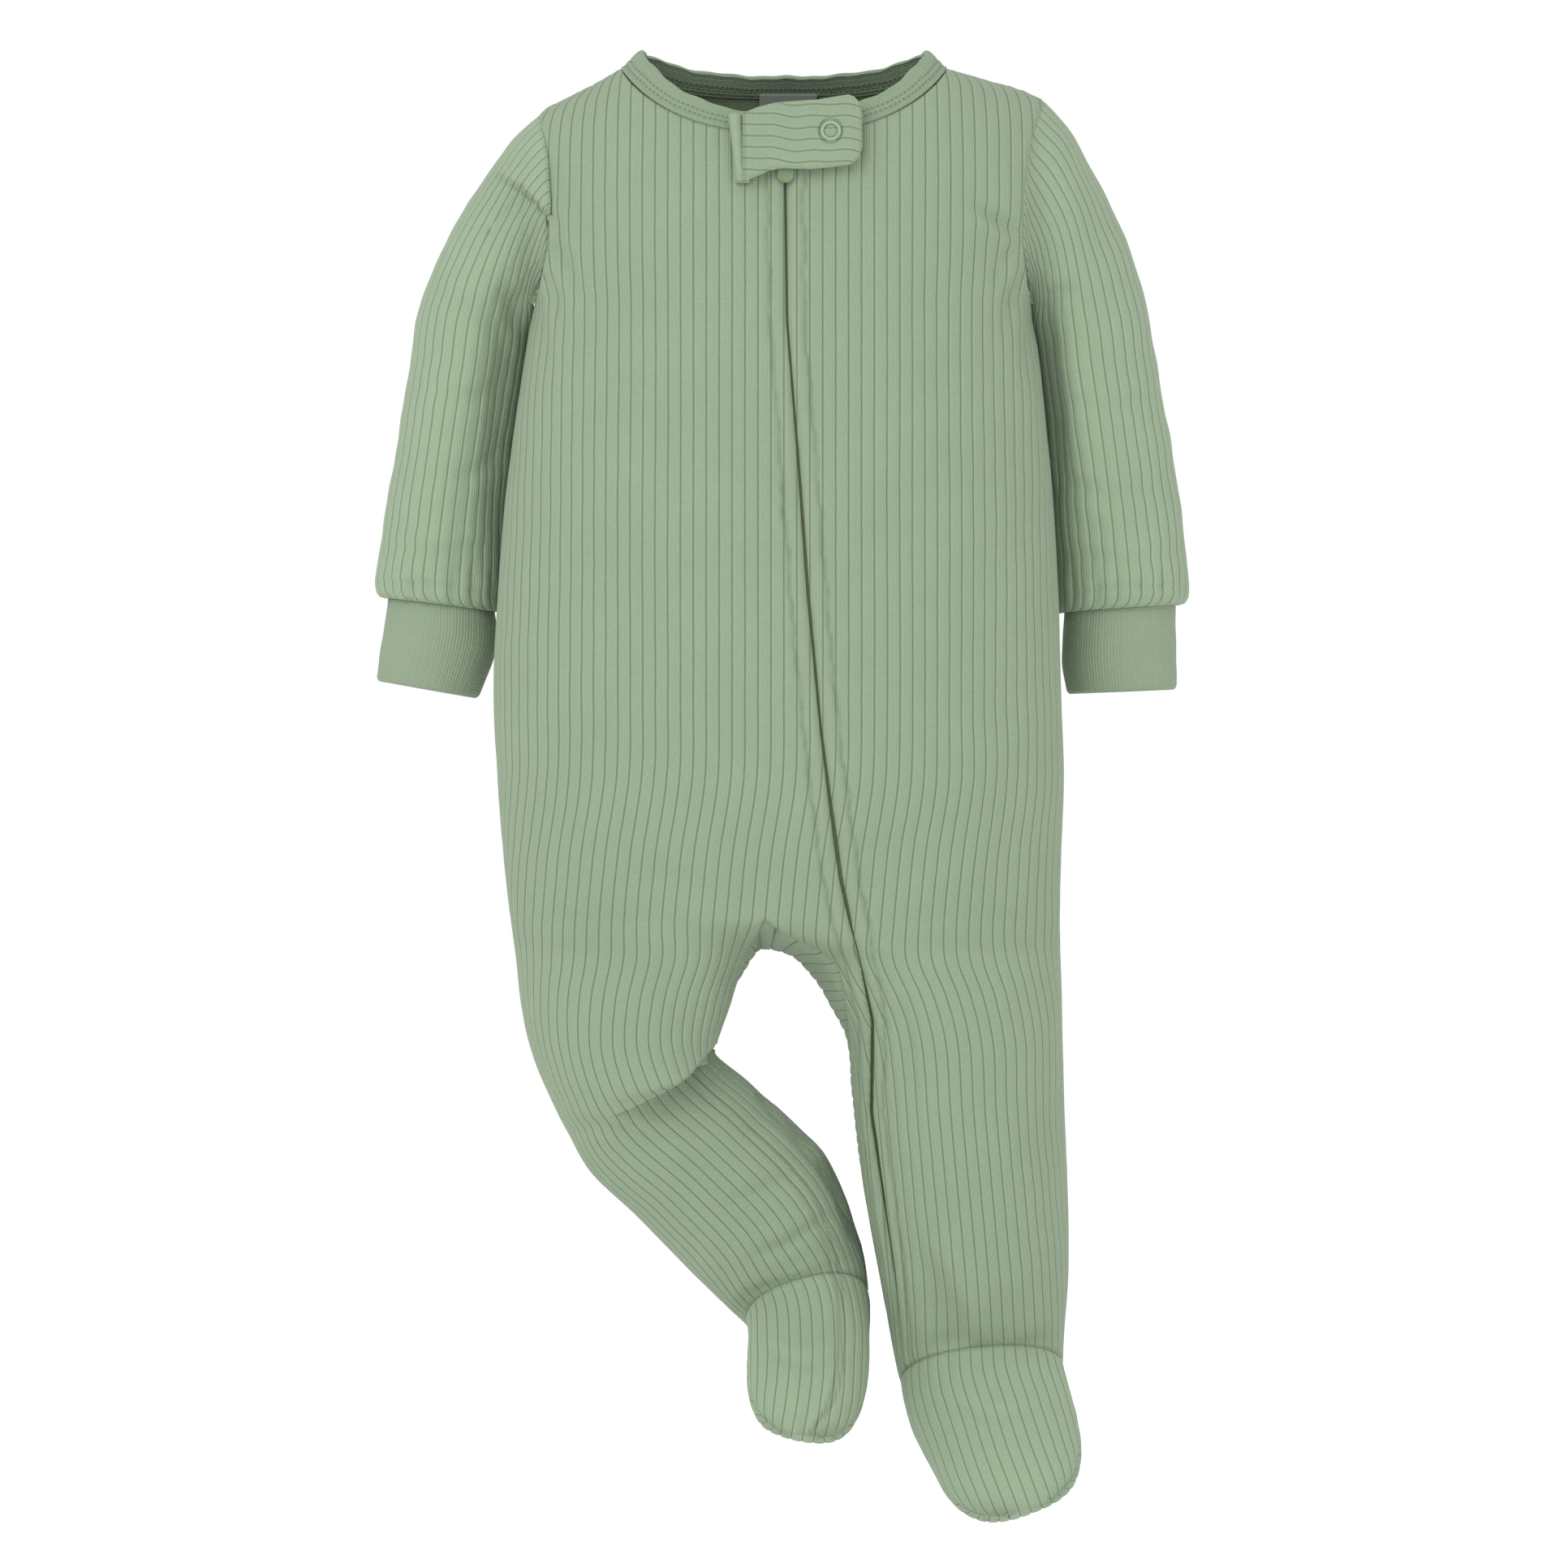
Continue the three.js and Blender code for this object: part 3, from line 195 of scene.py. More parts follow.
def smooth(value, low, high):
    t = np.clip((value - low) / (high - low), 0, 1)
    return t * t * (3 - 2 * t)


def ribHeight(place):
    shares = np.append(ribShares, 1)
    heights = np.append(ribHeights, ribHeights[0])
    return shape["ribHeight"] * np.interp(place % 1, shares, heights)


def zipX(z):
    heights = np.array([row[0] for row in zipLine])[::-1]
    places = np.array([row[1] for row in zipLine])[::-1]
    return np.interp(z, heights, places)


def middleX(z):
    return crotch["x"] * smooth(-z, -crotch["split"], -crotch["top"])


def lengths(points, axis=0):
    steps = np.linalg.norm(np.diff(points, axis=axis), axis=-1)
    return np.insert(np.cumsum(steps, axis=axis), 0, 0, axis=axis)


section = {
    "points": 301,
    "front": 0.3,  # share of a section where the front of a leg starts to move out
    "back": 0.6,
    "outAt": 0.95,
    "legs": 3,  # sections over which the ribs close up below the crotch
}


def sectionCurve(centre, side, face, wide, deep, turn, shift, shiftFrom):
    share = np.linspace(0, 1, section["points"])
    angle = radians(turn) * share
    across = np.cos(angle)
    sideways = wide * np.sign(across) * np.abs(across) ** (2 / shape["round"])
    outwards = deep * np.maximum(np.sin(angle), 0) ** (2 / shape["round"])
    points = centre + sideways[:, None] * side + outwards[:, None] * face
    points = points + smooth(share, shiftFrom, section["outAt"])[:, None] * shift
    run = lengths(points)
    even = np.linspace(0, run[-1], section["points"])
    points = np.stack([np.interp(even, run, points[:, i]) for i in range(3)], axis=1)
    frontShare = np.interp(90, turn * share, run) / run[-1] if turn > 90 else 1
    return points, run[-1], frontShare


def legAxes(half, row):
    lean = radians(row["lean"])
    pitch = radians(row["pitch"])
    centre = np.array([row["x"], row["y"], row["z"]], float)
    side = np.array([cos(lean), 0, sin(lean)]) * half["sign"]
    front = np.array([-sin(lean) * sin(pitch), -cos(pitch), cos(lean) * sin(pitch)])
    return centre, side, front


# How far the gusset reaches round a leg's section from its inner side, in degrees. It shows less
# in front than behind.
def gussetTurn(half, row, face):
    legRows = [one[2] for one in half["leg"]]
    shown = np.interp(-row["z"], [-z for z in legRows[: len(half["shown"])]], half["shown"])
    return row["gusset"] * (shown if face == "front" else 1)


# Sections of one face of one half, with the place of the ribs along each of them.
def faceSections(half, face):
    curves = []
    places = []
    share = np.linspace(0, 1, section["points"])
    for row in (dict(zip(torsoColumns, row)) for row in half["torso"]):
        middle = middleX(row["z"])
        centre = np.array([middle, 0, row["z"]])
        side = np.array([half["sign"], 0, 0])
        out = np.array([0, -1 if face == "front" else 1, 0])
        wide = row["outer"] - half["sign"] * middle
        points, run, frontShare = sectionCurve(centre, side, out, wide, row[face], 90, np.zeros(3), 0)
        curves.append(points)
        places.append(shape["middleRib"] - (1 - share) * run / shape["pitch"])
    turned = -half["sign"]
    lineRib = np.interp(turned * half["leg"][0][0], turned * curves[-1][:, 0], places[-1])
    for n, row in enumerate(half["leg"] + half["foot"]):
        row = dict(zip(legColumns, row))
        centre, side, front = legAxes(half, row)
        shift = front * row["out"] + np.array([0, 0, row["up"]])
        out = front if face == "front" else -front
        turn = 180 - gussetTurn(half, row, face)
        sizes = (row["wide"], row[face], turn)
        points, run, frontShare = sectionCurve(centre, side, out, *sizes, shift, section[face])
        pitch = shape["pitch"] + (shape["legPitch"] - shape["pitch"]) * min(n / section["legs"], 1)
        curves.append(points)
        places.append(lineRib + (share - frontShare) * run / pitch)
    return np.array(curves), np.array(places)


# A row between two others at share t, with its slopes taken from their neighbours.
def between(p0, p1, p2, p3, t):
    fromFirst = 2 * t**3 - 3 * t**2 + 1
    fromSecond = -2 * t**3 + 3 * t**2
    slopeIn = t**3 - 2 * t**2 + t
    slopeOut = t**3 - t**2
    return fromFirst * p1 + fromSecond * p2 + 0.5 * slopeIn * (p2 - p0) + 0.5 * slopeOut * (p3 - p1)


# Cubic rows between the sections, close enough together for the folds.
def fillRows(curves, places, first, last, close=()):
    rows = []
    ribs = []
    for n in range(first, last):
        lastBelow = crotch["step"] if n < crotch["step"] else len(curves) - 1
        before = max(n - 1, 0)
        after = min(n + 2, lastBelow)
        steps = curves[n + 1] - curves[n]
        moved = np.abs(steps)[:, 2].max() if n < crotch["step"] else np.linalg.norm(steps, axis=1).max()
        count = max(2, int(np.ceil(moved / shape["closeStep" if n in close else "step"])))
        for k in range(count + (n == last - 1)):
            rows.append(between(curves[before], curves[n], curves[n + 1], curves[after], k / count))
            ribs.append(between(places[before], places[n], places[n + 1], places[after], k / count))
    return np.array(rows), np.array(ribs)


# The nearest place of a line of x and z: how far it is, on which side, and how far along the line.
def nearestOn(x, z, line):
    line = np.array(line, float).reshape(-1, 2)
    runs = lengths(line)
    nearest = np.full(x.shape, np.inf)
    aside = np.zeros(x.shape)
    along = np.zeros(x.shape)
    for a, b, run, nextRun in zip(line[:-1], line[1:], runs[:-1], runs[1:]):
        step = b - a
        t = np.clip(((x - a[0]) * step[0] + (z - a[1]) * step[1]) / (step @ step), 0, 1)
        dx = x - a[0] - t * step[0]
        dz = z - a[1] - t * step[1]
        distance = np.hypot(dx, dz)
        closer = distance < nearest
        nearest = np.where(closer, distance, nearest)
        aside = np.where(closer, distance * np.sign(step[0] * dz - step[1] * dx), aside)
        along = np.where(closer, (run + t * (nextRun - run)) / runs[-1], along)
    return nearest, aside, along


bulgeReach = 1.6  # the upper cloth bulges so much further than the lower one is drawn in


def hangOver(points, fold):
    nearest, aside, along = nearestOn(points[..., 0], points[..., 2], fold["line"])
    line = np.array(fold["line"], float).reshape(-1, 2)
    way = line[-1] - line[0]
    under = np.array([-way[1], 0, way[0]]) * fold["side"] / np.hypot(*way)
    aside = aside * fold["side"]
    weight = (1 - smooth(along, *fold["fades"])) * smooth(-points[..., 1], *fold["front"])
    beneath = smooth(aside, -0.5 * fold["lip"], 0.5 * fold["lip"])
    near = np.exp(-((aside / fold["reach"]) ** 2))
    over = fold["over"] * near * (1 - 2 * beneath)
    edge = np.exp(-((aside / (bulgeReach * fold["reach"])) ** 2)) * (1 - beneath)
    lift = fold["rise"] * edge - fold["sink"] * near * beneath
    return points + weight[..., None] * (over[..., None] * under - lift[..., None] * np.array([0, 1, 0]))


def shoulderHeight(half, out):
    shoulder = half["shoulder"]
    share = (out - neck["half"]) / (shoulder[0] - neck["half"])
    return neck["side"] + share * (shoulder[1] - neck["side"])


def topEdge(half, out, face):
    power, root = neck[face]
    drop = neck["frontDrop"] if face == "front" else neck["backDrop"]
    inside = neck["side"] - drop * (1 - np.minimum(out / neck["half"], 1) ** power) ** root
    return np.where(out >= neck["half"], shoulderHeight(half, out), inside)


def crownHeight(half, out):
    inside = neck["side"] + neck["crown"] * (1 - (out / neck["half"]) ** 2)
    return np.where(out >= neck["half"], shoulderHeight(half, out), inside)


def yokeSurface(half, face, out, z):
    rise = np.clip((z - shape["armpit"]) / (crownHeight(half, out) - shape["armpit"]), 0, 1)
    full = np.interp(rise, np.linspace(0, 1, len(half["full"])), half["full"])
    across = np.minimum(out / full, 1)
    rounded = (1 - across ** shape["round"]) ** (1 / shape["round"])
    closed = (1 - rise ** shape["closing"]) ** (1 / shape["closing"])
    depthColumn = 2 if face == "front" else 3
    deep = np.maximum(half["torso"][0][depthColumn] * rounded * closed, 0.1)
    x, deep, z = np.broadcast_arrays(half["sign"] * out, deep, z)
    return np.stack([x, -deep if face == "front" else deep, z], axis=-1)


# The same on either side of the middle, at x and z.
def chestSurface(face, x, z):
    rightPoints, leftPoints = (yokeSurface(half, face, np.abs(x), z) for half in halves.values())
    return np.where((x < 0)[..., None], rightPoints, leftPoints)


def armholeEdge(half, share):
    return np.interp(share, np.linspace(0, 1, len(half["edge"])), half["edge"])


yoke = {
    "rows": 46,
    "crowding": 1.3,  # brings the rows closer together towards the top
    "tableTop": 3,
    "tableRows": 60,
    "tableOut": 123,
    "tableColumns": 493,
    "easeTurns": 60,
    "easeFrom": (-160, -115),
    "easeTo": (-80, -40),
    "easeOut": (0.03, 0.3),
}


# Place of the ribs above the armpit: lengths along level sections, so the ribs stay upright.
def chestRibs(half, face, out, z):
    heights = np.linspace(shape["armpit"], yoke["tableTop"], yoke["tableRows"])
    outs = np.linspace(0, yoke["tableOut"], yoke["tableColumns"])
    levels = [yokeSurface(half, face, outs, height) for height in heights]
    table = np.array([lengths(level[:, :2]) for level in levels])
    a = np.clip((z - heights[0]) / (heights[1] - heights[0]), 0, len(heights) - 1.001)
    b = np.clip(out / (outs[1] - outs[0]), 0, len(outs) - 1.001)
    i = a.astype(int)
    j = b.astype(int)
    s = a - i
    t = b - j
    upper = table[i + 1, j] * (1 - t) + table[i + 1, j + 1] * t
    lower = table[i, j] * (1 - t) + table[i, j + 1] * t
    return shape["middleRib"] - (lower * (1 - s) + upper * s) / shape["pitch"]


# Rows from the neckline and shoulder seam down to the armpit.
def yokeRows(half, face, armpitPoints):
    rows = []
    outs = half["sign"] * armpitPoints[:, 0]
    for share in 1 - np.linspace(0, 1, yoke["rows"] + 1)[:-1] ** yoke["crowding"]:
        out = armholeEdge(half, share) * outs / outs[0]
        z = shape["armpit"] + share * (topEdge(half, out, face) - shape["armpit"])
        rows.append(yokeSurface(half, face, out, z))
    rows = np.array(rows)
    return rows, chestRibs(half, face, np.abs(rows[:, :, 0]), rows[:, :, 2])


# The kink where the yoke meets the chest is eased, as cloth would ease it.
def easeChest(points):
    z = points[:, :, 2]
    near = smooth(z, *yoke["easeFrom"]) * (1 - smooth(z, *yoke["easeTo"]))
    weight = near * smooth(np.linspace(0, 1, points.shape[1]), *yoke["easeOut"])[None, :]
    for turn in range(yoke["easeTurns"]):
        eased = points[1:-1, :, 1] * 0.5 + (points[:-2, :, 1] + points[2:, :, 1]) * 0.25
        points[1:-1, :, 1] += weight[1:-1] * (eased - points[1:-1, :, 1])
    return points


# Columns of a row of cloth, all in millimetres: place, normal, rib number,
# length from the piece's top and to its bottom, and length down the garment.
columnOf = {"x": 0, "y": 1, "z": 2, "rib": 6, "top": 7, "bottom": 8, "down": 9}
farAway = 99


def sheetOf(points, ribs):
    across = np.gradient(points, axis=1)
    down = np.gradient(points, axis=0)
    normals = np.cross(across, down)
    normals /= np.linalg.norm(normals, axis=2, keepdims=True) + 1e-12
    inner = points.mean(axis=1, keepdims=True)
    outwards = np.sign(np.einsum("ijk,ijk->", normals, points - inner))
    run = lengths(points, axis=0)
    rest = np.stack([ribs, run, run[-1] - run, run], axis=2)
    return np.concatenate([points, normals * outwards, rest], axis=2)


kneeRows = range(crotch["step"] + 3, crotch["step"] + 7)
sheets = {}
for halfName, half in halves.items():
    for face in ("front", "back"):
        curves, places = faceSections(half, face)
        body, bodyRibs = fillRows(curves, places, 0, crotch["step"])
        top, topRibs = yokeRows(half, face, body[0])
        points = easeChest(np.concatenate([top, body]))
        trunk = sheetOf(points, np.concatenate([topRibs, bodyRibs]))
        ankle = crotch["step"] + len(half["leg"])
        close = kneeRows if halfName == "right" else ()
        leg, legRibs = fillRows(curves, places, crotch["step"], ankle, close)
        if halfName == "right":
            leg = hangOver(leg, overhangs["knee"])  # the back's inner edge goes with the front's
        foot, footRibs = fillRows(curves, places, ankle, len(curves) - 1)
        lower = sheetOf(np.concatenate([leg[:-1], foot]), np.concatenate([legRibs[:-1], footRibs]))
        outside = np.sign((trunk[-1, :, 3:6] * lower[0, :, 3:6]).sum())
        lower[:, :, 3:6] *= outside
        legPart = lower[: len(leg)].copy()
        footPart = lower[len(leg) - 1 :].copy()
        legPart[0, :, 3:6] = trunk[-1, :, 3:6]
        trunk[:, :, columnOf["down"]] = -trunk[:, :, columnOf["z"]]
        down = legPart[:, :, columnOf["down"]]
        legPart[:, :, columnOf["bottom"]] = down[-1] - down
        legPart[:, :, columnOf["down"]] -= crotch["top"]
        legPart[:, :, columnOf["top"]] = farAway  # no seam between the torso and the leg
        trunk[:, :, columnOf["bottom"]] = farAway
        footPart[:, :, columnOf["top"]] -= footPart[0, :, columnOf["top"]]
        sheets[halfName, face] = {"trunk": trunk, "leg": legPart, "foot": footPart}


# Rows that run from the wearer's right to the left, with ribs numbered across the middle.
def turnedRows(rows):
    turned = rows[:, ::-1].copy()
    turned[:, :, columnOf["rib"]] = 2 * shape["middleRib"] - turned[:, :, columnOf["rib"]]
    return turned


def wholeRows(face):
    rightHalf = sheets["right", face]["trunk"]
    leftHalf = turnedRows(sheets["left", face]["trunk"])
    return np.concatenate([rightHalf, leftHalf[:, 1:]], axis=1)


# Rib number at the zip's edge on one side, or at an offset from its middle.
def zipRib(row, side, offset=0):
    gap = np.interp(-row[:, 2], [-z for z, wide in zipGap], [wide for z, wide in zipGap])
    fromPlace = row[:, 0] - zipX(row[:, 2]) - 0.5 * side * gap - offset
    return float(np.interp(0, fromPlace, row[:, columnOf["rib"]]))


print("sections filled")


stroke = {
    "reach": 4,  # in half widths, like the ridge's place and width
    "ends": 0.02,
    "taper": 0.7,
    "ridgeAt": 2.1,
    "ridgeWidth": 1.3,
}


# Uneven creases. A stroke has a depth, a half width, a ridge's share of the depth on its left,
# and the places that it runs through as seen from the front. Ends taper off.
def strokeLift(x, z, strokes):
    lift = np.zeros(x.shape)
    for depth, width, ridge, *line in strokes:
        away = stroke["reach"] * width
        if x.min() > max(line[::2]) + away or x.max() < min(line[::2]) - away:
            continue
        if z.min() > max(line[1::2]) + away or z.max() < min(line[1::2]) - away:
            continue
        nearest, aside, along = nearestOn(x, z, line)
        along = np.clip(along, stroke["ends"], 1 - stroke["ends"])
        taper = np.sin(pi * along) ** stroke["taper"]
        lift += depth * taper * np.exp(-((nearest / width) ** 2))
        fromRidge = (aside - stroke["ridgeAt"] * width) / (stroke["ridgeWidth"] * width)
        lift -= ridge * depth * taper * np.exp(-(fromRidge**2)) * np.exp(-((nearest / away) ** 4))
    return lift


# Slow unevenness of cloth that hangs on nothing, the same at every run.
def waveLift(points, size):
    x, y, z = np.moveaxis(points, -1, 0)
    slow = np.sin(x * 0.071 + y * 0.043 + 1.3) * np.sin(z * 0.052 + x * 0.021 + 0.4)
    middle = np.sin(x * 0.155 - z * 0.083 + y * 0.11 + 2.1) * np.sin(z * 0.118 + y * 0.07 + 0.9)
    quick = np.sin(x * 0.31 + z * 0.17 + 0.6) * np.sin(z * 0.29 - x * 0.12 + y * 0.23)
    return size * (0.8 * slow + 0.5 * middle + 0.22 * quick)


# Depths and reaches, in millimetres, of what sewing does to the cloth.
dents = {
    "seam": (0.75, 1.1),
    "pull": (0.25, 4.0),
    "clear": (0.1, 1.6),
    "free": (-0.3, 3.0),  # creases fade out where two pieces are sewn together
    "waves": (0, 14),
    "stitch": (0.7, 0.75),
    "pressed": 0.85,  # share of a rib's height that stitches press down
    "puff": (0.5, 2.4),
}
front = {"placket": 6.6, "wave": 0.55, "faces": (-0.25, 0.35)}
outermost = 10**6
nearEnd = 0.05  # of a rib


def dent(name, distance):
    depth, reach = dents[name]
    return depth * np.exp(-((distance / reach) ** 2))


# Places across a row, counted in ribs, with a number for each that is the same in every row.
def ribPlaces(start, end):
    ribs = np.arange(int(np.floor(start)), int(np.ceil(end)) + 1)[:, None]
    places = (ribs + ribShares[None, :]).ravel()
    numbers = (ribs * len(ribShares) + np.arange(len(ribShares))[None, :]).ravel()
    inside = (places > start + nearEnd) & (places < end - nearEnd)
    places = np.concatenate([[start], places[inside], [end]])
    return places, np.concatenate([[-outermost], numbers[inside], [outermost]])


class Wall:
    def __init__(self, thick, strokes=(), backStrokes=(), wave=0.5):
        self.thick = thick
        self.strokes = strokes
        self.backStrokes = backStrokes
        self.wave = wave
        self.points = []
        self.weave = []
        self.faces = []
        self.count = 0

    def add(self, points, place, down, layer):
        self.points.append(points)
        layers = np.broadcast_to(layer, len(points))
        self.weave.append(np.stack([np.broadcast_to(place, layers.shape), down, layers], axis=1))
        first = self.count
        self.count += len(points)
        return list(range(first, self.count))

    # One row of samples between two ribs' numbers. placket is how far a row of stitches lies
    # from the row's end, or less than nothing for its start.
    def row(self, row, start, end, dense=False, placket=0):
        places, numbers = ribPlaces(start, end)
        ribs = row[:, columnOf["rib"]]
        values = np.stack([np.interp(places, ribs, row[:, k]) for k in range(row.shape[1])], axis=1)
        at = values[:, :3]
        normal = values[:, 3:6] / (np.linalg.norm(values[:, 3:6], axis=1, keepdims=True) + 1e-12)
        down = values[:, columnOf["down"]]
        run = lengths(at)
        toEnd = run[-1] - run
        toSeam = np.minimum(values[:, columnOf["top"]], values[:, columnOf["bottom"]])
        edge = np.minimum(np.minimum(run, toEnd), toSeam)
        frontShare = smooth(-normal[:, 1], *front["faces"])
        fold = frontShare * strokeLift(at[:, 0], at[:, 2], self.strokes)
        fold += (1 - frontShare) * strokeLift(at[:, 0], at[:, 2], self.backStrokes)
        fold *= smooth(edge, *dents["free"])
        fold += self.wave * waveLift(at, 1.0) * smooth(edge, *dents["waves"])
        drawn = -dent("seam", edge) - dent("pull", edge)
        ribbed = ribHeight(places) * smooth(edge, *dents["clear"])
        stitched = np.zeros(len(places))
        if placket:
            wander = 0.35 * np.sin(at[:, 2] * 0.23) + 0.25 * np.sin(at[:, 2] * 0.61 + 1)
            fromEnd = toEnd if placket > 0 else run
            stitches = dent("stitch", fromEnd - abs(placket) - wander)
            stitched = stitches / dents["stitch"][0]
            ribbed = ribbed * (1 - dents["pressed"] * stitched) - stitches
            ribbed += dent("puff", fromEnd - 0.5 * abs(placket))
        outer = at + normal * (fold + drawn + ribbed)[:, None]
        index = self.add(outer, places, down, 0.5 * stitched)
        sparse = np.ones(len(places), bool) if dense else (numbers % (2 * len(ribShares)) == 0)
        sparse[[0, -1]] = True
        depth = (fold + 0.5 * drawn)[sparse, None] - self.thick
        innerIndex = self.add(at[sparse] + normal[sparse] * depth, places[sparse], down[sparse], 1)
        return {"outer": (numbers.tolist(), index), "inner": (numbers[sparse].tolist(), innerIndex)}

    def partOf(self, row, low, high):
        part = {}
        for layer, (numbers, index) in row.items():
            kept = [n for n, number in enumerate(numbers) if low <= number <= high]
            part[layer] = ([numbers[n] for n in kept], [index[n] for n in kept])
        return part

    def stitch(self, upper, lower, flip):
        upperNumbers, upperIndex = upper
        lowerNumbers, lowerIndex = lower
        i = 0
        j = 0
        lastI = len(upperIndex) - 1
        lastJ = len(lowerIndex) - 1
        while i < lastI or j < lastJ:
            if i < lastI and j < lastJ and upperNumbers[i + 1] == lowerNumbers[j + 1]:
                face = (upperIndex[i], lowerIndex[j], lowerIndex[j + 1], upperIndex[i + 1])
                i += 1
                j += 1
            elif j == lastJ or (i < lastI and upperNumbers[i + 1] < lowerNumbers[j + 1]):
                face = (upperIndex[i], lowerIndex[j], upperIndex[i + 1])
                i += 1
            else:
                face = (upperIndex[i], lowerIndex[j], lowerIndex[j + 1])
                j += 1
            self.faces.append(face[::-1] if flip else face)

    def join(self, rows, topRim=True, bottomRim=True):
        for upper, lower in zip(rows[:-1], rows[1:]):
            self.stitch(upper["outer"], lower["outer"], False)
            self.stitch(upper["inner"], lower["inner"], True)
            for end in (0, -1):
                corners = [row[layer][1][end] for row in (upper, lower) for layer in ("outer", "inner")]
                face = (corners[0], corners[1], corners[3], corners[2])
                self.faces.append(face if end == 0 else face[::-1])
        if topRim:
            self.stitch(rows[0]["inner"], rows[0]["outer"], False)
        if bottomRim:
            self.stitch(rows[-1]["outer"], rows[-1]["inner"], False)

    def grid(self, outer, inner, places, downs, closed=False):
        rows = []
        for n in range(len(outer)):
            numbers = list(range(outer.shape[1]))
            rows.append({
                "outer": (numbers, self.add(outer[n], places[n], downs[n], 0)),
                "inner": (numbers, self.add(inner[n], places[n], downs[n], 1)),
            })
        if not closed:
            self.join(rows)
            return
        for row in rows:
            for layer in row:
                row[layer] = (row[layer][0] + [outer.shape[1]], row[layer][1] + row[layer][1][:1])
        for upper, lower in zip(rows[:-1], rows[1:]):
            self.stitch(upper["outer"], lower["outer"], False)
            self.stitch(upper["inner"], lower["inner"], True)
        self.stitch(rows[0]["inner"], rows[0]["outer"], False)
        self.stitch(rows[-1]["outer"], rows[-1]["inner"], False)


def normalsOf(points, outward, closed=False):
    if closed:
        wide = np.concatenate([points[:, -1:], points, points[:, :1]], axis=1)
        across = (wide[:, 2:] - wide[:, :-2]) / 2
    else:
        across = np.gradient(points, axis=1)
    normals = np.cross(across, np.gradient(points, axis=0))
    normals /= np.linalg.norm(normals, axis=2, keepdims=True) + 1e-12
    return normals * np.sign((normals * outward).sum(axis=2, keepdims=True) + 1e-12)


# Flat cuts of the cloth that shows: width and length in mm, and area in cm2.
cuts = {
    "frontRight": (168, 606, 720),
    "frontLeft": (139, 589, 580),
    "back": (277, 604, 1290),
    "gusset": (92, 204, 74),
    "footTopRight": (79, 95, 48),
    "soleRight": (94, 103, 61),
    "footTopLeft": (92, 101, 61),
    "soleLeft": (107, 111, 79),
    "sleeveRight": (224, 217, 283),
    "sleeveLeft": (232, 222, 292),
    "cuffRight": (129, 38.6, 49),
    "cuffLeft": (129, 36.5, 46.5),
    "neckBand": (371, 11.5, 40.5),
    "zipFlap": (47, 33, 13),
    "flapStay": (15.6, 28.5, 4.3),
    "neckLabel": (23.6, 28.5, 6.7),
}


# Turns a wall into a piece of the scene that rides a body and stands in for solids.
def makePiece(name, wall, material, nodes, body="garment"):
    mesh = bpy.data.meshes.new(name)
    points = np.concatenate(wall.points) * mm
    mesh.from_pydata(points.tolist(), [], wall.faces)
    mesh.update()
    mesh.calc_loop_triangles()
    corners = np.zeros(len(mesh.loop_triangles) * 3, int)
    mesh.loop_triangles.foreach_get("vertices", corners)
    a, b, c = points[corners.reshape(-1, 3)].transpose(1, 0, 2)
    if np.einsum("ij,ij->", a, np.cross(b, c)) < 0:
        mesh.flip_normals()
    mesh.polygons.foreach_set("use_smooth", np.ones(len(mesh.polygons), bool))
    weave = mesh.attributes.new("weave", "FLOAT_VECTOR", "POINT")
    weave.data.foreach_set("vector", np.concatenate(wall.weave).ravel().astype(np.float32))
    mesh.materials.append(material)
    piece = bpy.data.objects.new(name, mesh)
    bpy.context.collection.objects.link(piece)
    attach(piece, body)
    if nodes:
        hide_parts(*nodes)
    name in cuts
    print(f"{name}: {len(mesh.loop_triangles)} triangles")


# Shader maths on sockets.
class Wire:
    def __init__(self, paint, socket):
        self.paint = paint
        self.socket = socket

    def maths(self, operation, *values):
        node = self.paint.node("ShaderNodeMath", {"operation": operation}, dict(enumerate(values)))
        return self.paint.wire(node)

    def __add__(self, other):
        return self.maths("ADD", self, other)

    def __radd__(self, other):
        return self.maths("ADD", other, self)

    def __sub__(self, other):
        return self.maths("SUBTRACT", self, other)

    def __rsub__(self, other):
        return self.maths("SUBTRACT", other, self)

    def __mul__(self, other):
        return self.maths("MULTIPLY", self, other)

    def __rmul__(self, other):
        return self.maths("MULTIPLY", other, self)

    def __truediv__(self, other):
        return self.maths("DIVIDE", self, other)

    def __rtruediv__(self, other):
        return self.maths("DIVIDE", other, self)

    def sine(self):
        return self.maths("SINE", self)

    def part(self):
        return self.maths("FRACT", self)

    def size(self):
        return self.maths("ABSOLUTE", self)

    def between(self, low, high):
        values = {"Value": self, "From Min": low, "From Max": high, "To Min": 0, "To Max": 1}
        node = self.paint.node("ShaderNodeMapRange", {"interpolation_type": "SMOOTHSTEP"}, values)
        return self.paint.wire(node)


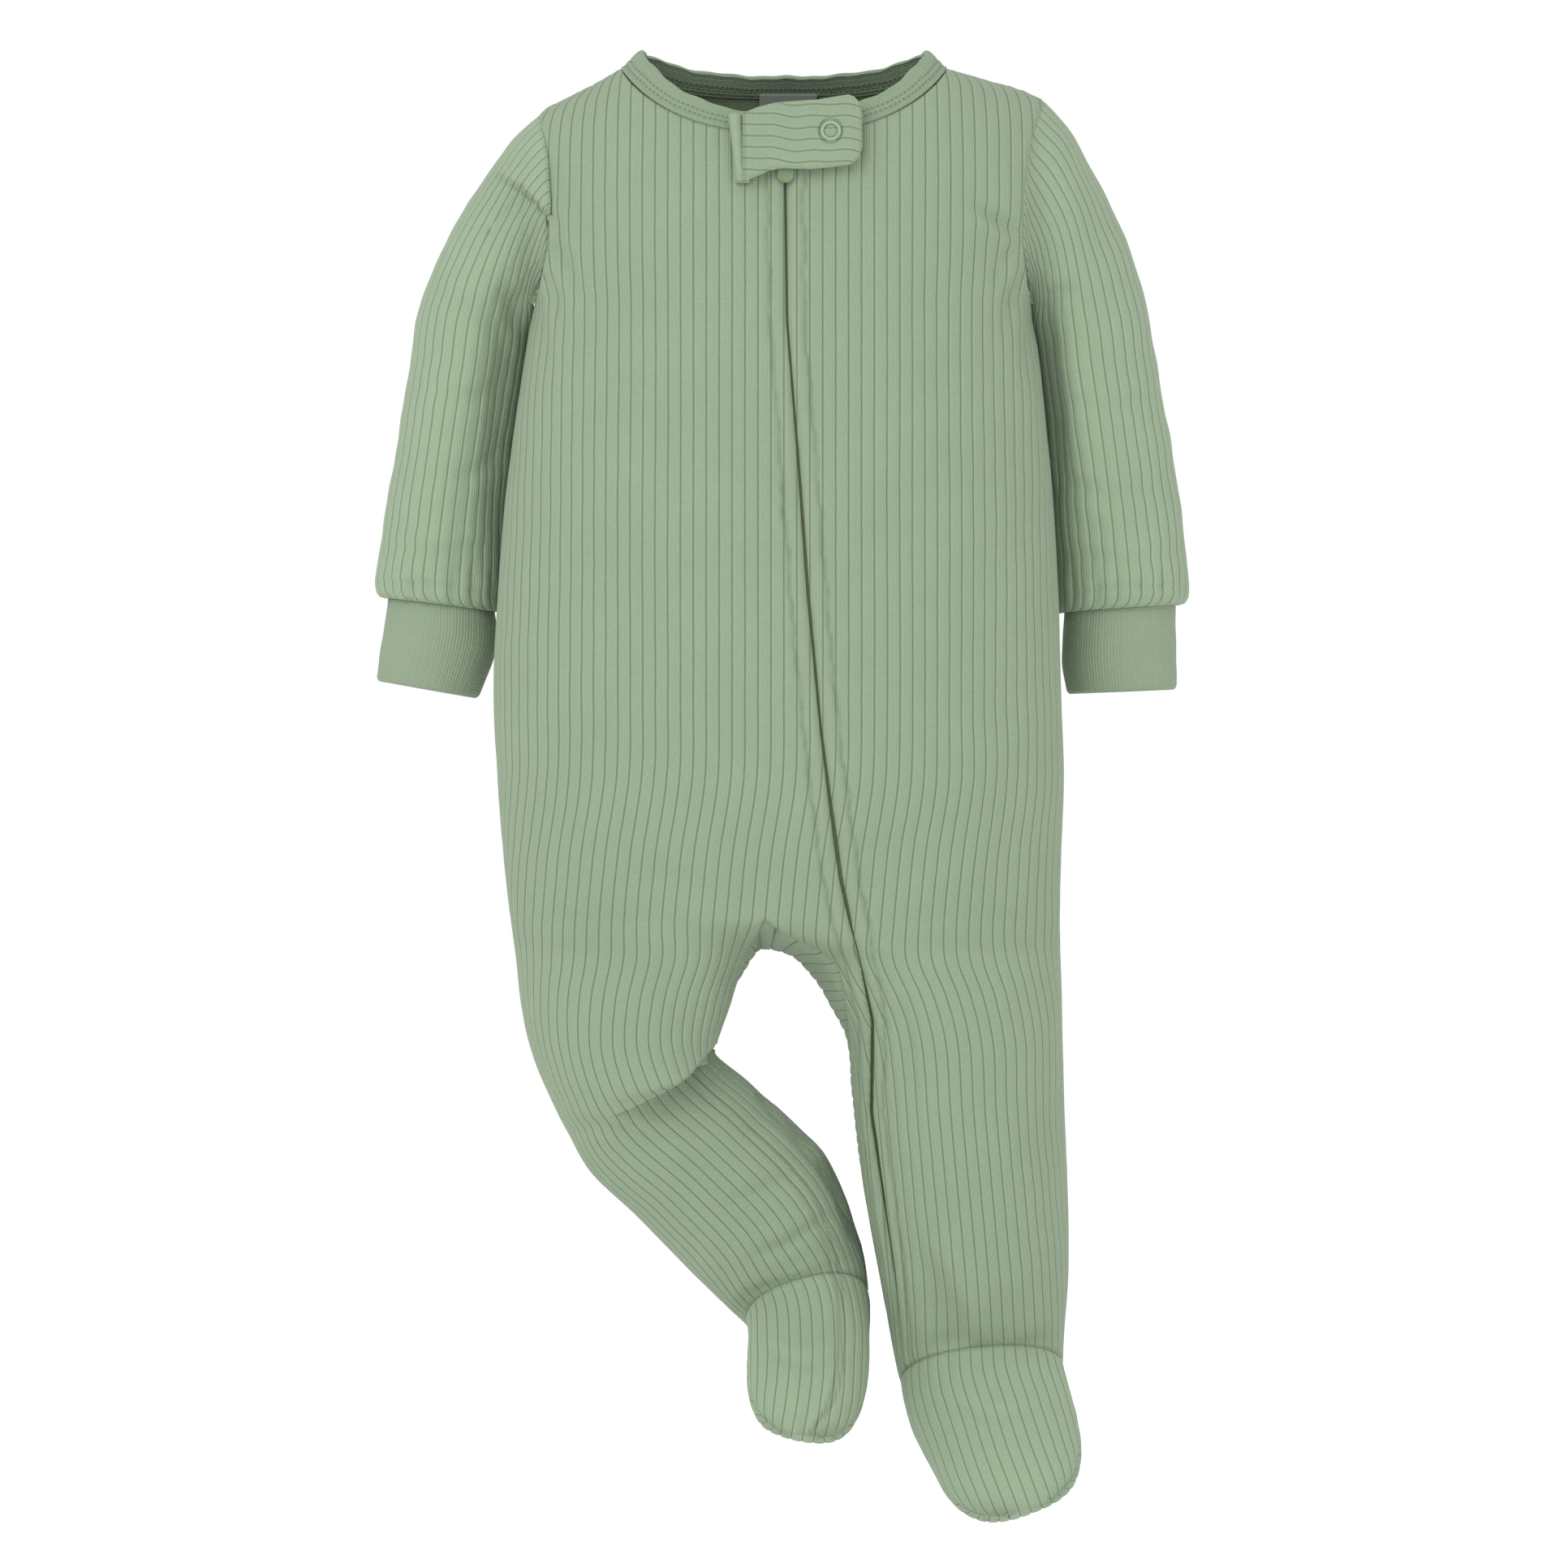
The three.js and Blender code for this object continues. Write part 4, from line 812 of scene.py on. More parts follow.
class Paint:
    def __init__(self, name):
        self.material = bpy.data.materials.new(name)
        self.material.use_nodes = True
        self.tree = self.material.node_tree
        self.surface = self.tree.nodes["Principled BSDF"]

    def node(self, kind, settings=None, values=None):
        node = self.tree.nodes.new(kind)
        for key, value in (settings or {}).items():
            setattr(node, key, value)
        for key, value in (values or {}).items():
            if isinstance(value, Wire):
                self.tree.links.new(value.socket, node.inputs[key])
            else:
                node.inputs[key].default_value = value
        return node

    def wire(self, node, output=0):
        return Wire(self, node.outputs[output])

    def mix(self, share, a, b):
        node = self.node("ShaderNodeMix", {"data_type": "RGBA"}, {"Factor": share})
        for socket, value in ((node.inputs[6], a), (node.inputs[7], b)):
            if isinstance(value, Wire):
                self.tree.links.new(value.socket, socket)
            else:
                socket.default_value = (*value, 1)
        return self.wire(node, 2)

    def scaled(self, colour, factor):
        values = {0: colour, "Scale": factor}
        return self.wire(self.node("ShaderNodeVectorMath", {"operation": "SCALE"}, values))

    def noise(self, scale, detail=2.0):
        place = self.wire(self.node("ShaderNodeTexCoord"), "Object")
        values = {"Vector": place, "Scale": scale, "Detail": detail}
        return self.wire(self.node("ShaderNodeTexNoise", None, values))

    def finish(self, colour, height=None, depth=0.0001, **constants):
        for key, value in constants.items():
            self.surface.inputs[key.replace("_", " ")].default_value = value
        self.tree.links.new(colour.socket, self.surface.inputs["Base Color"])
        if height is not None:
            bump = self.node("ShaderNodeBump", None, {"Height": height, "Strength": 1.0, "Distance": depth})
            self.tree.links.new(bump.outputs[0], self.surface.inputs["Normal"])
        return self.material


cottonFinish = {"Roughness": 0.92, "Sheen_Weight": 0.12, "Sheen_Roughness": 0.55, "Specular_IOR_Level": 0.18}
jerseyLook = {
    "base": (0.247, 0.320, 0.219),
    # painted shade: the darker green that the groove between two ribs is mixed towards
    "groove": (0.132, 0.194, 0.103),
    # the inner face is painted this darker green as painted shade inside the hollow garment; stitch lines on
    # the outer face are mixed halfway towards it
    "inside": (0.165, 0.228, 0.130),
    "grooveShare": 0.085,  # of a rib's width
    "grooveDark": 0.85,
    # painted highlight beside each groove
    "grooveHighlight": (0.14, 0.24, 0.07),  # where the light beside a groove fades, and its strength
    "wales": 5,  # knit columns on a rib
    "course": 1.15,  # mm between two knit rows
    "slant": 2.2,
    "waleTone": 0.035,
    "courseTone": 0.03,
    "mottle": (38.0, 3.0, 0.10),  # scale, detail and strength
    "speckle": (1500.0, 2.0, 0.20),
    "relief": (0.5, 0.35, 0.8),  # of wales, courses and speckle
    "depth": 0.00013,
}


# The three channels of a piece's weave: place in ribs, length down it, and layer.
def weaveOf(paint):
    weave = paint.wire(paint.node("ShaderNodeAttribute", {"attribute_name": "weave"}), "Vector")
    parts = paint.node("ShaderNodeSeparateXYZ", None, {0: weave})
    return [paint.wire(parts, n) for n in range(3)]


def jerseyMaterial(name, look, brightness=1.0):
    paint = Paint(name)
    place, down, layer = weaveOf(paint)
    mottleScale, mottleDetail, mottleStrength = look["mottle"]
    speckleScale, speckleDetail, speckleStrength = look["speckle"]
    lightFrom, lightTo, lightStrength = look["grooveHighlight"]
    # Painted shade: the colour is mixed towards a darker green in the groove between two ribs.
    toGroove = 0.5 - (place.part() - 0.5).size()
    groove = 1 - toGroove.between(0.25 * look["grooveShare"], look["grooveShare"])
    # Painted highlight: a thin lighter strip on each side of a groove.
    edge = toGroove.between(look["grooveShare"], 1.5 * look["grooveShare"])
    grooveHighlight = edge * (1 - toGroove.between(lightFrom, lightTo))
    wale = (place * (2 * pi * look["wales"])).sine()
    slant = (place * (pi * look["wales"])).sine().size()
    course = (down * (2 * pi / look["course"]) + slant * look["slant"]).sine()
    mottle = paint.noise(mottleScale, mottleDetail) - 0.5
    speckle = paint.noise(speckleScale, speckleDetail) - 0.5
    tone = 1 + mottle * mottleStrength + speckle * speckleStrength
    tone = tone + wale * look["waleTone"] + course * look["courseTone"] + grooveHighlight * lightStrength
    colour = paint.mix(groove * look["grooveDark"], look["base"], look["groove"])
    # Painted shade: the inner face takes the inside colour, by its layer.
    colour = paint.mix(layer, colour, look["inside"])
    waleDepth, courseDepth, speckleDepth = look["relief"]
    height = wale * waleDepth + course * courseDepth + speckle * speckleDepth
    return paint.finish(paint.scaled(colour, tone * brightness), height, look["depth"], **cottonFinish)


fineLook = {
    "base": (0.228, 0.300, 0.202),
    "shade": (0.150, 0.208, 0.128),
    "course": 1.1,
    "ribTone": 0.04,
    "courseTone": 0.02,
    "speckle": (1400.0, 0.2),
    "relief": (0.5, 0.3, 0.7),
    "depth": 0.00016,
    "stitchPitch": 1.84,  # ribs between two stitches
    "stitchHalf": (0.25, 0.6),
    "stitchLong": (0.22, 0.34),
    "stitchDark": 0.75,
    "stitchDepth": 2,
}


# Close rib of the neckband and cuffs. Where stitches are asked for, rows of them run along it.
def fineMaterial(name, look, stitchRows=()):
    paint = Paint(name)
    place, down = weaveOf(paint)[:2]
    ribs = (place * (2 * pi)).sine()
    course = (down * (2 * pi / look["course"])).sine()
    speckleScale, speckleStrength = look["speckle"]
    speckle = paint.noise(speckleScale) - 0.5
    tone = 1 + ribs * look["ribTone"] + course * look["courseTone"] + speckle * speckleStrength
    colour = paint.scaled(look["base"], tone)
    ribDepth, courseDepth, speckleDepth = look["relief"]
    height = ribs * ribDepth + course * courseDepth + speckle * speckleDepth
    for line in stitchRows:
        onLine = 1 - (down - line).size().between(*look["stitchHalf"])
        dash = (place * (1 / look["stitchPitch"])).part()
        stitch = onLine * (1 - (dash - 0.5).size().between(*look["stitchLong"]))
        colour = paint.mix(stitch * look["stitchDark"], colour, look["shade"])
        height = height - stitch * look["stitchDepth"]
    return paint.finish(colour, height, look["depth"], **cottonFinish)


plainLook = {"scale": 1600.0, "depth": 0.00008}


def plainMaterial(name, base, speckleStrength=0.15, **constants):
    paint = Paint(name)
    speckle = paint.noise(plainLook["scale"]) - 0.5
    colour = paint.scaled(base, 1 + speckle * speckleStrength)
    return paint.finish(colour, speckle, plainLook["depth"], **constants)


gloss = {"Roughness": 0.38, "Specular_IOR_Level": 0.5, "Coat_Weight": 0.1}
bodyJersey = jerseyMaterial("bodyJersey", jerseyLook)
# The same jersey, painted 12% brighter on the sleeves and feet: painted light, not another cloth.
litLimbJersey = jerseyMaterial("litLimbJersey", jerseyLook, 1.12)
bandRib = fineMaterial("bandRib", fineLook, (2.9, 5.4))
cuffRib = fineMaterial("cuffRib", {**fineLook, "base": (0.240, 0.308, 0.210)})
tapeCloth = plainMaterial("tapeCloth", (0.085, 0.12, 0.06), **cottonFinish)
# The coil's own green, darkened further to the look of the narrow zip gap: painted shade.
coilPlastic = plainMaterial("coilPlastic", (0.060, 0.088, 0.038), 0.1, Roughness=0.6)
fitting = plainMaterial("fitting", (0.150, 0.228, 0.105), 0.04, **gloss)
snapGreen = plainMaterial("snapGreen", (0.270, 0.350, 0.225), 0.05, **gloss)
labelCloth = plainMaterial("labelCloth", (0.240, 0.275, 0.240), 0.12, **cottonFinish)
print("materials made")

# Strokes, each: depth, half width, ridge on its left, then x and z of the places it runs through.
creases = {
    "front": (
        (-1.6, 2.8, 0.6, -98, -60, -91, -68, -87, -80),
        (-1.9, 3.0, 0.6, -97, -71, -88, -81, -84, -96),
        (-1.5, 3.0, 0.5, -99, -84, -92, -96, -90, -112),
        (-1.1, 3.2, 0.5, -102, -93, -97, -110, -95, -128),
        (-2.6, 2.6, 0.6, 98, -70, 92, -69, 84, -64, 74, -58),
        (-1.4, 2.4, 0.5, 97, -72, 89, -80, 83, -93),
        (-1.3, 2.4, 0.5, 99, -84, 92, -95, 88, -110),
        (-1.0, 3.2, 0.4, 103, -96, 98, -113, 96, -132),
        (-2.6, 1.9, 0.3, -19, -402, -10.7, -416, -2.6, -427, 5.5, -436, 15, -447, 23, -461, 27, -476),
        (-6.0, 2.7, 0.2, -15, -404, -10, -412, -6, -420),
        (-6.0, 2.9, 0.2, -1, -419, 6, -429, 12, -438),
        (-6.5, 3.6, 0.1, 15, -442, 24, -455, 29, -468, 30, -480),
        (-1.2, 3.0, 0.5, -88, -432, -74, -430, -62, -432, -50, -438),
        (-1.0, 4.5, 0.5, -18, -344, -40, -332, -70, -326),
        (-0.9, 4.5, 0.5, 5, -337, 26, -322, 56, -312),
        (-0.9, 3.0, 0.5, 46, -366, 50, -400, 52, -440),
        (-0.7, 1.3, 0.7, -8, -166, -3, -170, 1, -177),
        (-0.8, 1.3, 0.7, -7, -176, -1, -182, 3, -190),
        (-0.6, 1.3, 0.7, -6, -190, 0, -196, 4, -203),
        (-0.5, 1.6, 0.6, 24, -232, 20, -238, 16, -247),
        (-0.6, 8.0, 0.4, -84, -262, -50, -280, -12, -286),
        (-0.7, 9.0, 0.4, 92, -250, 60, -276, 28, -288),
        (-1.0, 3.2, 0.5, -24, -462, -8, -456, 8, -450),
        (-1.4, 2.8, 0.5, -14, -484, 2, -478, 20, -466),
        (-1.3, 2.2, 0.5, -14, -498, 4, -494, 26, -486),
        (-3.6, 5.2, 0.15, 55, -480, 61, -497, 65, -513, 68, -530),
        (-1.8, 3.6, 0.3, 66, -494, 71, -510, 73, -526),
        (1.0, 5.0, 0.0, 60, -470, 72, -492, 78, -514),
        (-1.0, 2.4, 0.4, 78, -520, 92, -522, 108, -516),
    ),
    "back": (
        (-1.7, 2.1, 0.6, -98, -62, -90, -70, -84, -82),
        (-1.6, 2.4, 0.6, -98, -74, -90, -84, -86, -98),
        (-1.1, 3.2, 0.5, -102, -90, -96, -108, -94, -126),
        (-1.8, 2.2, 0.6, 98, -63, 89, -71, 83, -84),
        (-1.5, 2.4, 0.5, 99, -76, 91, -88, 87, -102),
        (-1.0, 3.2, 0.4, 103, -94, 98, -112, 96, -130),
        (-1.7, 3.2, 0.5, -80, -431, -62, -424, -48, -414),
        (-1.2, 3.4, 0.5, -80, -444, -58, -436, -42, -424),
        (-1.1, 5.0, 0.5, -20, -342, -45, -330, -78, -326),
        (-1.1, 5.0, 0.5, 5, -342, 34, -330, 70, -326),
        (-0.7, 9.0, 0.4, -84, -226, -40, -240, 10, -238),
        (-0.6, 8.0, 0.4, 84, -190, 44, -206, 0, -204),
        (-1.2, 3.2, 0.5, -20, -484, 0, -480, 22, -470),
        (-1.5, 3.0, 0.5, 44, -506, 74, -514, 108, -506),
        (-1.2, 3.4, 0.5, 44, -484, 72, -492, 106, -486),
    ),
    "sleeveRight": (
        (-5.0, 8.0, 0.1, -108, -80, -110, -105, -114, -150, -118, -195),
        (-3.2, 4.6, 0.1, -103, -62, -102.5, -76, -103.5, -92, -105, -112),
        (-2.4, 4.2, 0.5, -116, -90, -109, -100, -105, -112),
        (-1.6, 4.5, 0.4, -136, -96, -122, -102, -112, -112),
        (-1.0, 3.0, 0.4, -103, -58, -112, -62, -120, -70),
        (-1.0, 3.4, 0.5, -146, -132, -130, -137, -112, -132),
        (-1.1, 3.4, 0.5, -112, -158, -128, -168, -150, -168),
        (-1.0, 2.6, 0.6, -162, -196, -142, -199, -118, -196),
        (-0.8, 1.2, 0.8, -166, -211, -144, -211, -116, -216),
    ),
    "sleeveLeft": (
        (-4.5, 6.0, 0.3, 101, -26, 103, -44, 104, -66, 104, -92),
        (-4.0, 5.0, 0.45, 104, -84, 106, -110, 109, -140, 113, -180),
        (-1.2, 3.0, 0.5, 106, -98, 112, -94, 120, -93),
        (-1.0, 3.4, 0.5, 112, -136, 130, -142, 150, -136),
        (-1.1, 3.4, 0.5, 152, -172, 130, -176, 112, -168),
        (-1.0, 2.6, 0.6, 112, -198, 138, -203, 162, -198),
        (-0.8, 1.2, 0.8, 164, -213, 140, -212, 112, -216),
    ),
    "gusset": (
        (-2.4, 1.3, 0.3, -3, -338, 1, -343, 0, -349, -6, -353),
        (-1.6, 1.2, 0.2, -17, -346, -12, -341, -6, -338),
        (1.8, 2.6, 0.0, -16, -352, -9, -346, -3, -342),
        (-1.2, 1.2, 0.3, 7, -343, 10, -349, 9, -356),
        (-1.0, 1.3, 0.3, 14, -350, 19, -355, 20, -362),
        (-0.8, 1.4, 0.3, 22, -366, 28, -370, 30, -378),
    ),
    "foot": (
        (-1.0, 2.4, 0.5, -8, -520, 8, -526, 24, -521),
        (-0.9, 2.2, 0.5, 62, -540, 84, -548, 108, -541),
    ),
}
# Small gathers above the cuffs, uneven in depth and length: x of the first, then the step.
gathers = {"Right": (-160, 8.4), "Left": (118, 8.8)}
gather = {"count": 6, "depth": 0.75, "deeper": 0.3, "wide": 1.5, "ridge": 0.4, "bottom": -221, "top": -203}
for side, (firstX, step) in gathers.items():
    for n in range(gather["count"]):
        x = firstX + step * n
        depth = -gather["depth"] - gather["deeper"] * (n % 3 == 1)
        line = (x, gather["bottom"], x + 1.5 * sin(n * 2.3), gather["top"] - 3 * (n % 2))
        creases["sleeve" + side] += ((depth, gather["wide"], gather["ridge"], *line),)

frontTrunk = wholeRows("front")
leftFrontLeg = turnedRows(sheets["left", "front"]["leg"])


# The rows of a piece. start or end names a side of the zip where the piece ends there.
def cutRows(wall, rows, start=0, end=0, dense=(), placket=0):
    done = []
    for n, row in enumerate(rows):
        low = zipRib(row, start) if start else row[0, columnOf["rib"]]
        high = zipRib(row, end) if end else row[-1, columnOf["rib"]]
        done.append(wall.row(row, low, high, n in dense, placket))
    return done


# Two legs that hang from one row of the trunk, parted at the middle rib.
def joinLegs(wall, trunk, rightLeg, leftLeg):
    fork = trunk[-1]
    middle = shape["middleRib"] * len(ribShares)
    wall.join(trunk, bottomRim=False)
    wall.join([wall.partOf(fork, -outermost, middle), *rightLeg], topRim=False)
    wall.join([wall.partOf(fork, middle, outermost), *leftLeg], topRim=False)


def lastOf(rows):
    return {len(rows) - 2}


def buildFronts():
    wall = Wall(shape["cloth"], creases["front"], creases["back"], front["wave"])
    rightLeg = sheets["right", "front"]["leg"]
    trunk = cutRows(wall, frontTrunk, end=-1, dense={0}, placket=front["placket"])
    right = cutRows(wall, rightLeg[1:], dense=lastOf(rightLeg))
    strip = cutRows(wall, leftFrontLeg[1:], end=-1, dense=lastOf(leftFrontLeg), placket=front["placket"])
    joinLegs(wall, trunk, right, strip)
    makePiece("frontRight", wall, bodyJersey, ["front_right_panel"])
    wall = Wall(shape["cloth"], creases["front"], creases["back"], front["wave"])
    trunk = cutRows(wall, frontTrunk, start=1, dense={0}, placket=-front["placket"])
    leg = cutRows(wall, leftFrontLeg[1:], start=1, dense=lastOf(leftFrontLeg), placket=-front["placket"])
    wall.join(trunk + leg)
    makePiece("frontLeft", wall, bodyJersey, ["front_left_panel"])


def buildBack():
    wall = Wall(shape["cloth"], creases["front"], creases["back"], front["wave"])
    rightLeg = sheets["right", "back"]["leg"]
    leftLeg = turnedRows(sheets["left", "back"]["leg"])
    trunk = cutRows(wall, wholeRows("back"), dense={0})
    right = cutRows(wall, rightLeg[1:], dense=lastOf(rightLeg))
    left = cutRows(wall, leftLeg[1:], dense=lastOf(leftLeg))
    joinLegs(wall, trunk, right, left)
    makePiece("back", wall, bodyJersey, ["back_panel"])


buildFronts()
buildBack()


def buildFeet():
    for halfName in halves:
        for face, name, node in (("front", "footTop", "foot_top_"), ("back", "sole", "sole_")):
            wall = Wall(shape["cloth"], creases["foot"], creases["foot"], 0.5)
            rows = sheets[halfName, face]["foot"]
            wall.join(cutRows(wall, rows, dense={0, len(rows) - 1}))
            makePiece(name + halfName.capitalize(), wall, litLimbJersey, [node + halfName])


buildFeet()

# The gusset is a saddle: sections across it run from the front seam under the crotch to the back seam.
gusset = {
    "columns": 49,
    "tuck": 2.2,
    "rib": 4.7,
    "step": 0.9,
    "inset": 1,
    "crest": 1.0,
    "sink": 1.2,
    "sunk": (1.0, 4.0),  # distances from its edges, as for the ribs
    "ribbed": (2.0, 4.0),
    "creased": (2, 20),  # how far forward the creases show
    "kneeSink": 1.2,
    "kneeReach": 7,
    "turning": 6,  # run from the crest over which its outer side comes to face sideways
    "facing": -0.6,
    "wave": 0.5,
}


def gussetSection(half, row):
    row = dict(zip(legColumns, row))
    centre, side, front = legAxes(half, row)
    shift = front * row["out"] + np.array([0, 0, row["up"]])
    across = np.linspace(-1, 1, gusset["columns"])
    turns = [gussetTurn(half, row, face) for face in ("front", "back")]
    reach = np.radians(np.where(across < 0, *turns)) + gusset["tuck"] / row["wide"]
    angle = pi - reach * np.abs(across)
    deep = np.where(across < 0, row["front"], -row["back"])
    sideways = -row["wide"] * np.abs(np.cos(angle)) ** (2 / shape["round"])
    outwards = deep * np.maximum(np.sin(angle), 0) ** (2 / shape["round"])
    points = centre + sideways[:, None] * side + outwards[:, None] * front + shift
    run = lengths(points)
    even = np.linspace(0, run[-1], gusset["columns"])
    return np.stack([np.interp(even, run, points[:, i]) for i in range(3)], axis=1)


def gussetCrest():
    share = np.linspace(0, 1, gusset["columns"])
    frontDepth, backDepth = halves["right"]["torso"][-1][2:]
    y = gusset["inset"] - frontDepth + share * (backDepth + frontDepth - 2 * gusset["inset"])
    z = crotch["top"] - gusset["crest"] + (crotch["arch"] - crotch["top"]) * np.sin(pi * share)
    return np.stack([np.full(share.shape, crotch["x"]), y, z], axis=1)


def fillBetween(rows, step):
    filled = []
    last = len(rows) - 1
    for n in range(last):
        around = [rows[min(max(k, 0), last)] for k in range(n - 1, n + 3)]
        count = max(2, int(np.ceil(np.linalg.norm(rows[n + 1] - rows[n], axis=1).max() / step)))
        filled += [between(*around, k / count) for k in range(count + (n == last - 1))]
    return np.array(filled)


def buildGusset():
    rows = {}
    for name, half in halves.items():
        angled = [row for row in half["leg"] if row[legColumns.index("gusset")] > 0]
        rows[name] = [gussetSection(half, row) for row in half["leg"][: len(angled) + 1]]
    base = fillBetween([*rows["right"][::-1], gussetCrest(), *rows["left"]], gusset["step"])
    along = lengths(base[:, gusset["columns"] // 2])
    base = hangOver(base, overhangs["knee"])
    outward = np.zeros(base.shape)
    crest = along[np.argmax(base[:, gusset["columns"] // 2, 2])]
    outward[:, :, 0] = np.clip((crest - along) / gusset["turning"], -1, 1)[:, None]
    outward[:, :, 2] = gusset["facing"]
    normals = normalsOf(base, outward)
    across = lengths(base, axis=1)
    edge = np.minimum(across, across[:, -1:] - across)
    x, y, z = np.moveaxis(base, -1, 0)
    kneeAside = nearestOn(x, z, overhangs["knee"]["line"])[0]
    atKnee = np.exp(-((kneeAside / gusset["kneeReach"]) ** 2))
    sink = -gusset["sink"] * (1 - smooth(edge, *gusset["sunk"])) - gusset["kneeSink"] * atKnee
    places = np.broadcast_to((along / gusset["rib"])[:, None], edge.shape)
    creased = strokeLift(x, z, creases["gusset"]) * smooth(-y, *gusset["creased"])
    ribbed = ribHeight(places) * smooth(edge, *gusset["ribbed"]) * (1 - atKnee)
    lift = sink + ribbed + gusset["wave"] * waveLift(base, 1.0) + creased
    outer = base + normals * lift[:, :, None]
    inner = base + normals * (sink + creased - shape["cloth"])[:, :, None]
    wall = Wall(shape["cloth"])
    wall.grid(outer, inner, places, across)
    makePiece("gusset", wall, bodyJersey, ["crotch_gusset"])


buildGusset()
print("body made")

sleeveColumns = ("outX", "outZ", "inX", "inZ", "y", "deep", "round")
sleeveRings = {
    "right": (
        (107, -26, 103.2, -98.5, 1, 33, 0.25),
        (122, -43, 101, -101, 8, 30, 0.6),
        (137, -70, 100.5, -105, 13, 28, 0.9),
        (146, -95, 101.5, -112, 17, 27, 1),
        (151.5, -123, 104, -128, 19, 26, 1),
        (158, -160, 108.5, -162, 21, 25, 1),
        (163.5, -193, 112.5, -196, 23, 23.5, 1),
        (165.7, -212, 113.5, -219, 24, 22.5, 1),
        (162.6, -217.6, 116, -223.4, 24, 19.5, 1),
    ),
    "left": (
        (113, -21, 102.4, -98.5, 1, 33, 0.25),
        (125, -39, 100, -101, 8, 30, 0.6),
        (138, -68, 99.5, -105, 13, 28, 0.9),
        (146, -95, 100, -112, 17, 27, 1),
        (151.3, -123, 102, -128, 19, 26, 1),
        (157.5, -160, 105.5, -162, 21, 25, 1),
        (162.5, -193, 110, -196, 23, 23.5, 1),
        (164.7, -214, 110.6, -220, 24, 22.5, 1),
        (161.5, -220.4, 113, -223.4, 24, 19.5, 1),
    ),
}
cuffRings = {
    "right": (
        (160.8, -215, 117.4, -220.6, 24, 18.2),
        (161.8, -228, 117.2, -234, 24, 18.4),
        (163.6, -240, 120.4, -246, 24, 17.7),
        (165.6, -250.5, 124.6, -258, 24, 17),
    ),
    "left": (
        (159.8, -217.6, 114.4, -220.6, 24, 18.2),
        (159.2, -228, 114.2, -231, 24, 18.4),
        (158.8, -241, 114, -243, 24, 17.7),
        (159.6, -254, 115, -256, 24, 17),
    ),
}
sleeve = {
    "points": 401,
    "pitch": 4.9,
    "start": -1.7,
    "low": 1.2,
    "top": -2.4,  # how far in it starts at the shoulder, beyond its start elsewhere
    "rise": 0.5,
    "nearTop": 0.12,
    "wave": 0.75,
    "step": 1.7,
    "backShift": 4,  # moves the creases down at the back
}
cuff = {
    "columns": 144,
    "thick": 1.9,
    "ribs": 110,
    "step": 1.3,
    "puff": 0.9,
    "seam": (0.9, 0.9),  # depth and reach, as for its end
    "end": (1, 0.7),
    "wave": 0.6,
    "ridges": (96, 0.10),
}


def ringPoints(half, ring, turn):
    outX, outZ, inX, inZ, y, deep = ring[:6]
    share = (1 - np.cos(2 * pi * turn)) / 2
    x = half["sign"] * (outX + (inX - outX) * share)
    return np.stack([x, y - deep * np.sin(2 * pi * turn), outZ + (inZ - outZ) * share], axis=1)


def armholePoints(half, turn):
    points = np.zeros((len(turn), 3))
    for face in ("front", "back"):
        share = np.linspace(1, 0, 160)
        out = armholeEdge(half, share)
        z = shape["armpit"] + share * (topEdge(half, out, face) - shape["armpit"])
        curve = yokeSurface(half, face, out, z)
        run = lengths(curve)
        chosen = turn >= 0 if face == "front" else turn < 0
        places = 2 * np.abs(turn[chosen]) * run[-1]
        points[chosen] = np.stack([np.interp(places, run, curve[:, i]) for i in range(3)], axis=1)
    low = ((1 - np.cos(2 * pi * turn)) / 2) ** 4
    atTop = smooth(-np.abs(turn), -sleeve["nearTop"], 0)
    points[:, 0] += half["sign"] * (sleeve["start"] + sleeve["low"] * low + sleeve["top"] * atTop)
    points[:, 2] += sleeve["rise"] * atTop
    return points


# Strokes moved a little, so that the back doesn't repeat the front.
def movedStrokes(strokes):
    moved = []
    for depth, width, ridge, *line in strokes:
        line = (value + sleeve["backShift"] * (n % 2) for n, value in enumerate(line))
        moved.append((depth, width, ridge, *line))
    return moved


def buildSleeve(halfName, half):
    name = "sleeve" + halfName.capitalize()
    turn = np.linspace(-0.5, 0.5, sleeve["points"])
    middle = sleeve["points"] // 2
    start = armholePoints(half, turn)
    rings = [start + (ringPoints(half, ring, turn) - start) * ring[6] for ring in sleeveRings[halfName]]
    rows = fillBetween([start, *rings], sleeve["step"])
    run = lengths(rows, axis=1)
    ribs = (run - run[:, middle : middle + 1]) / sleeve["pitch"] + 0.5
    if name in overhangs:
        rows = hangOver(rows, overhangs[name])
    wall = Wall(shape["cloth"], creases[name], movedStrokes(creases[name]), sleeve["wave"])
    wall.join(cutRows(wall, sheetOf(rows, ribs), dense={0, len(rows) - 1}))
    makePiece(name, wall, litLimbJersey, ["sleeve_" + halfName])


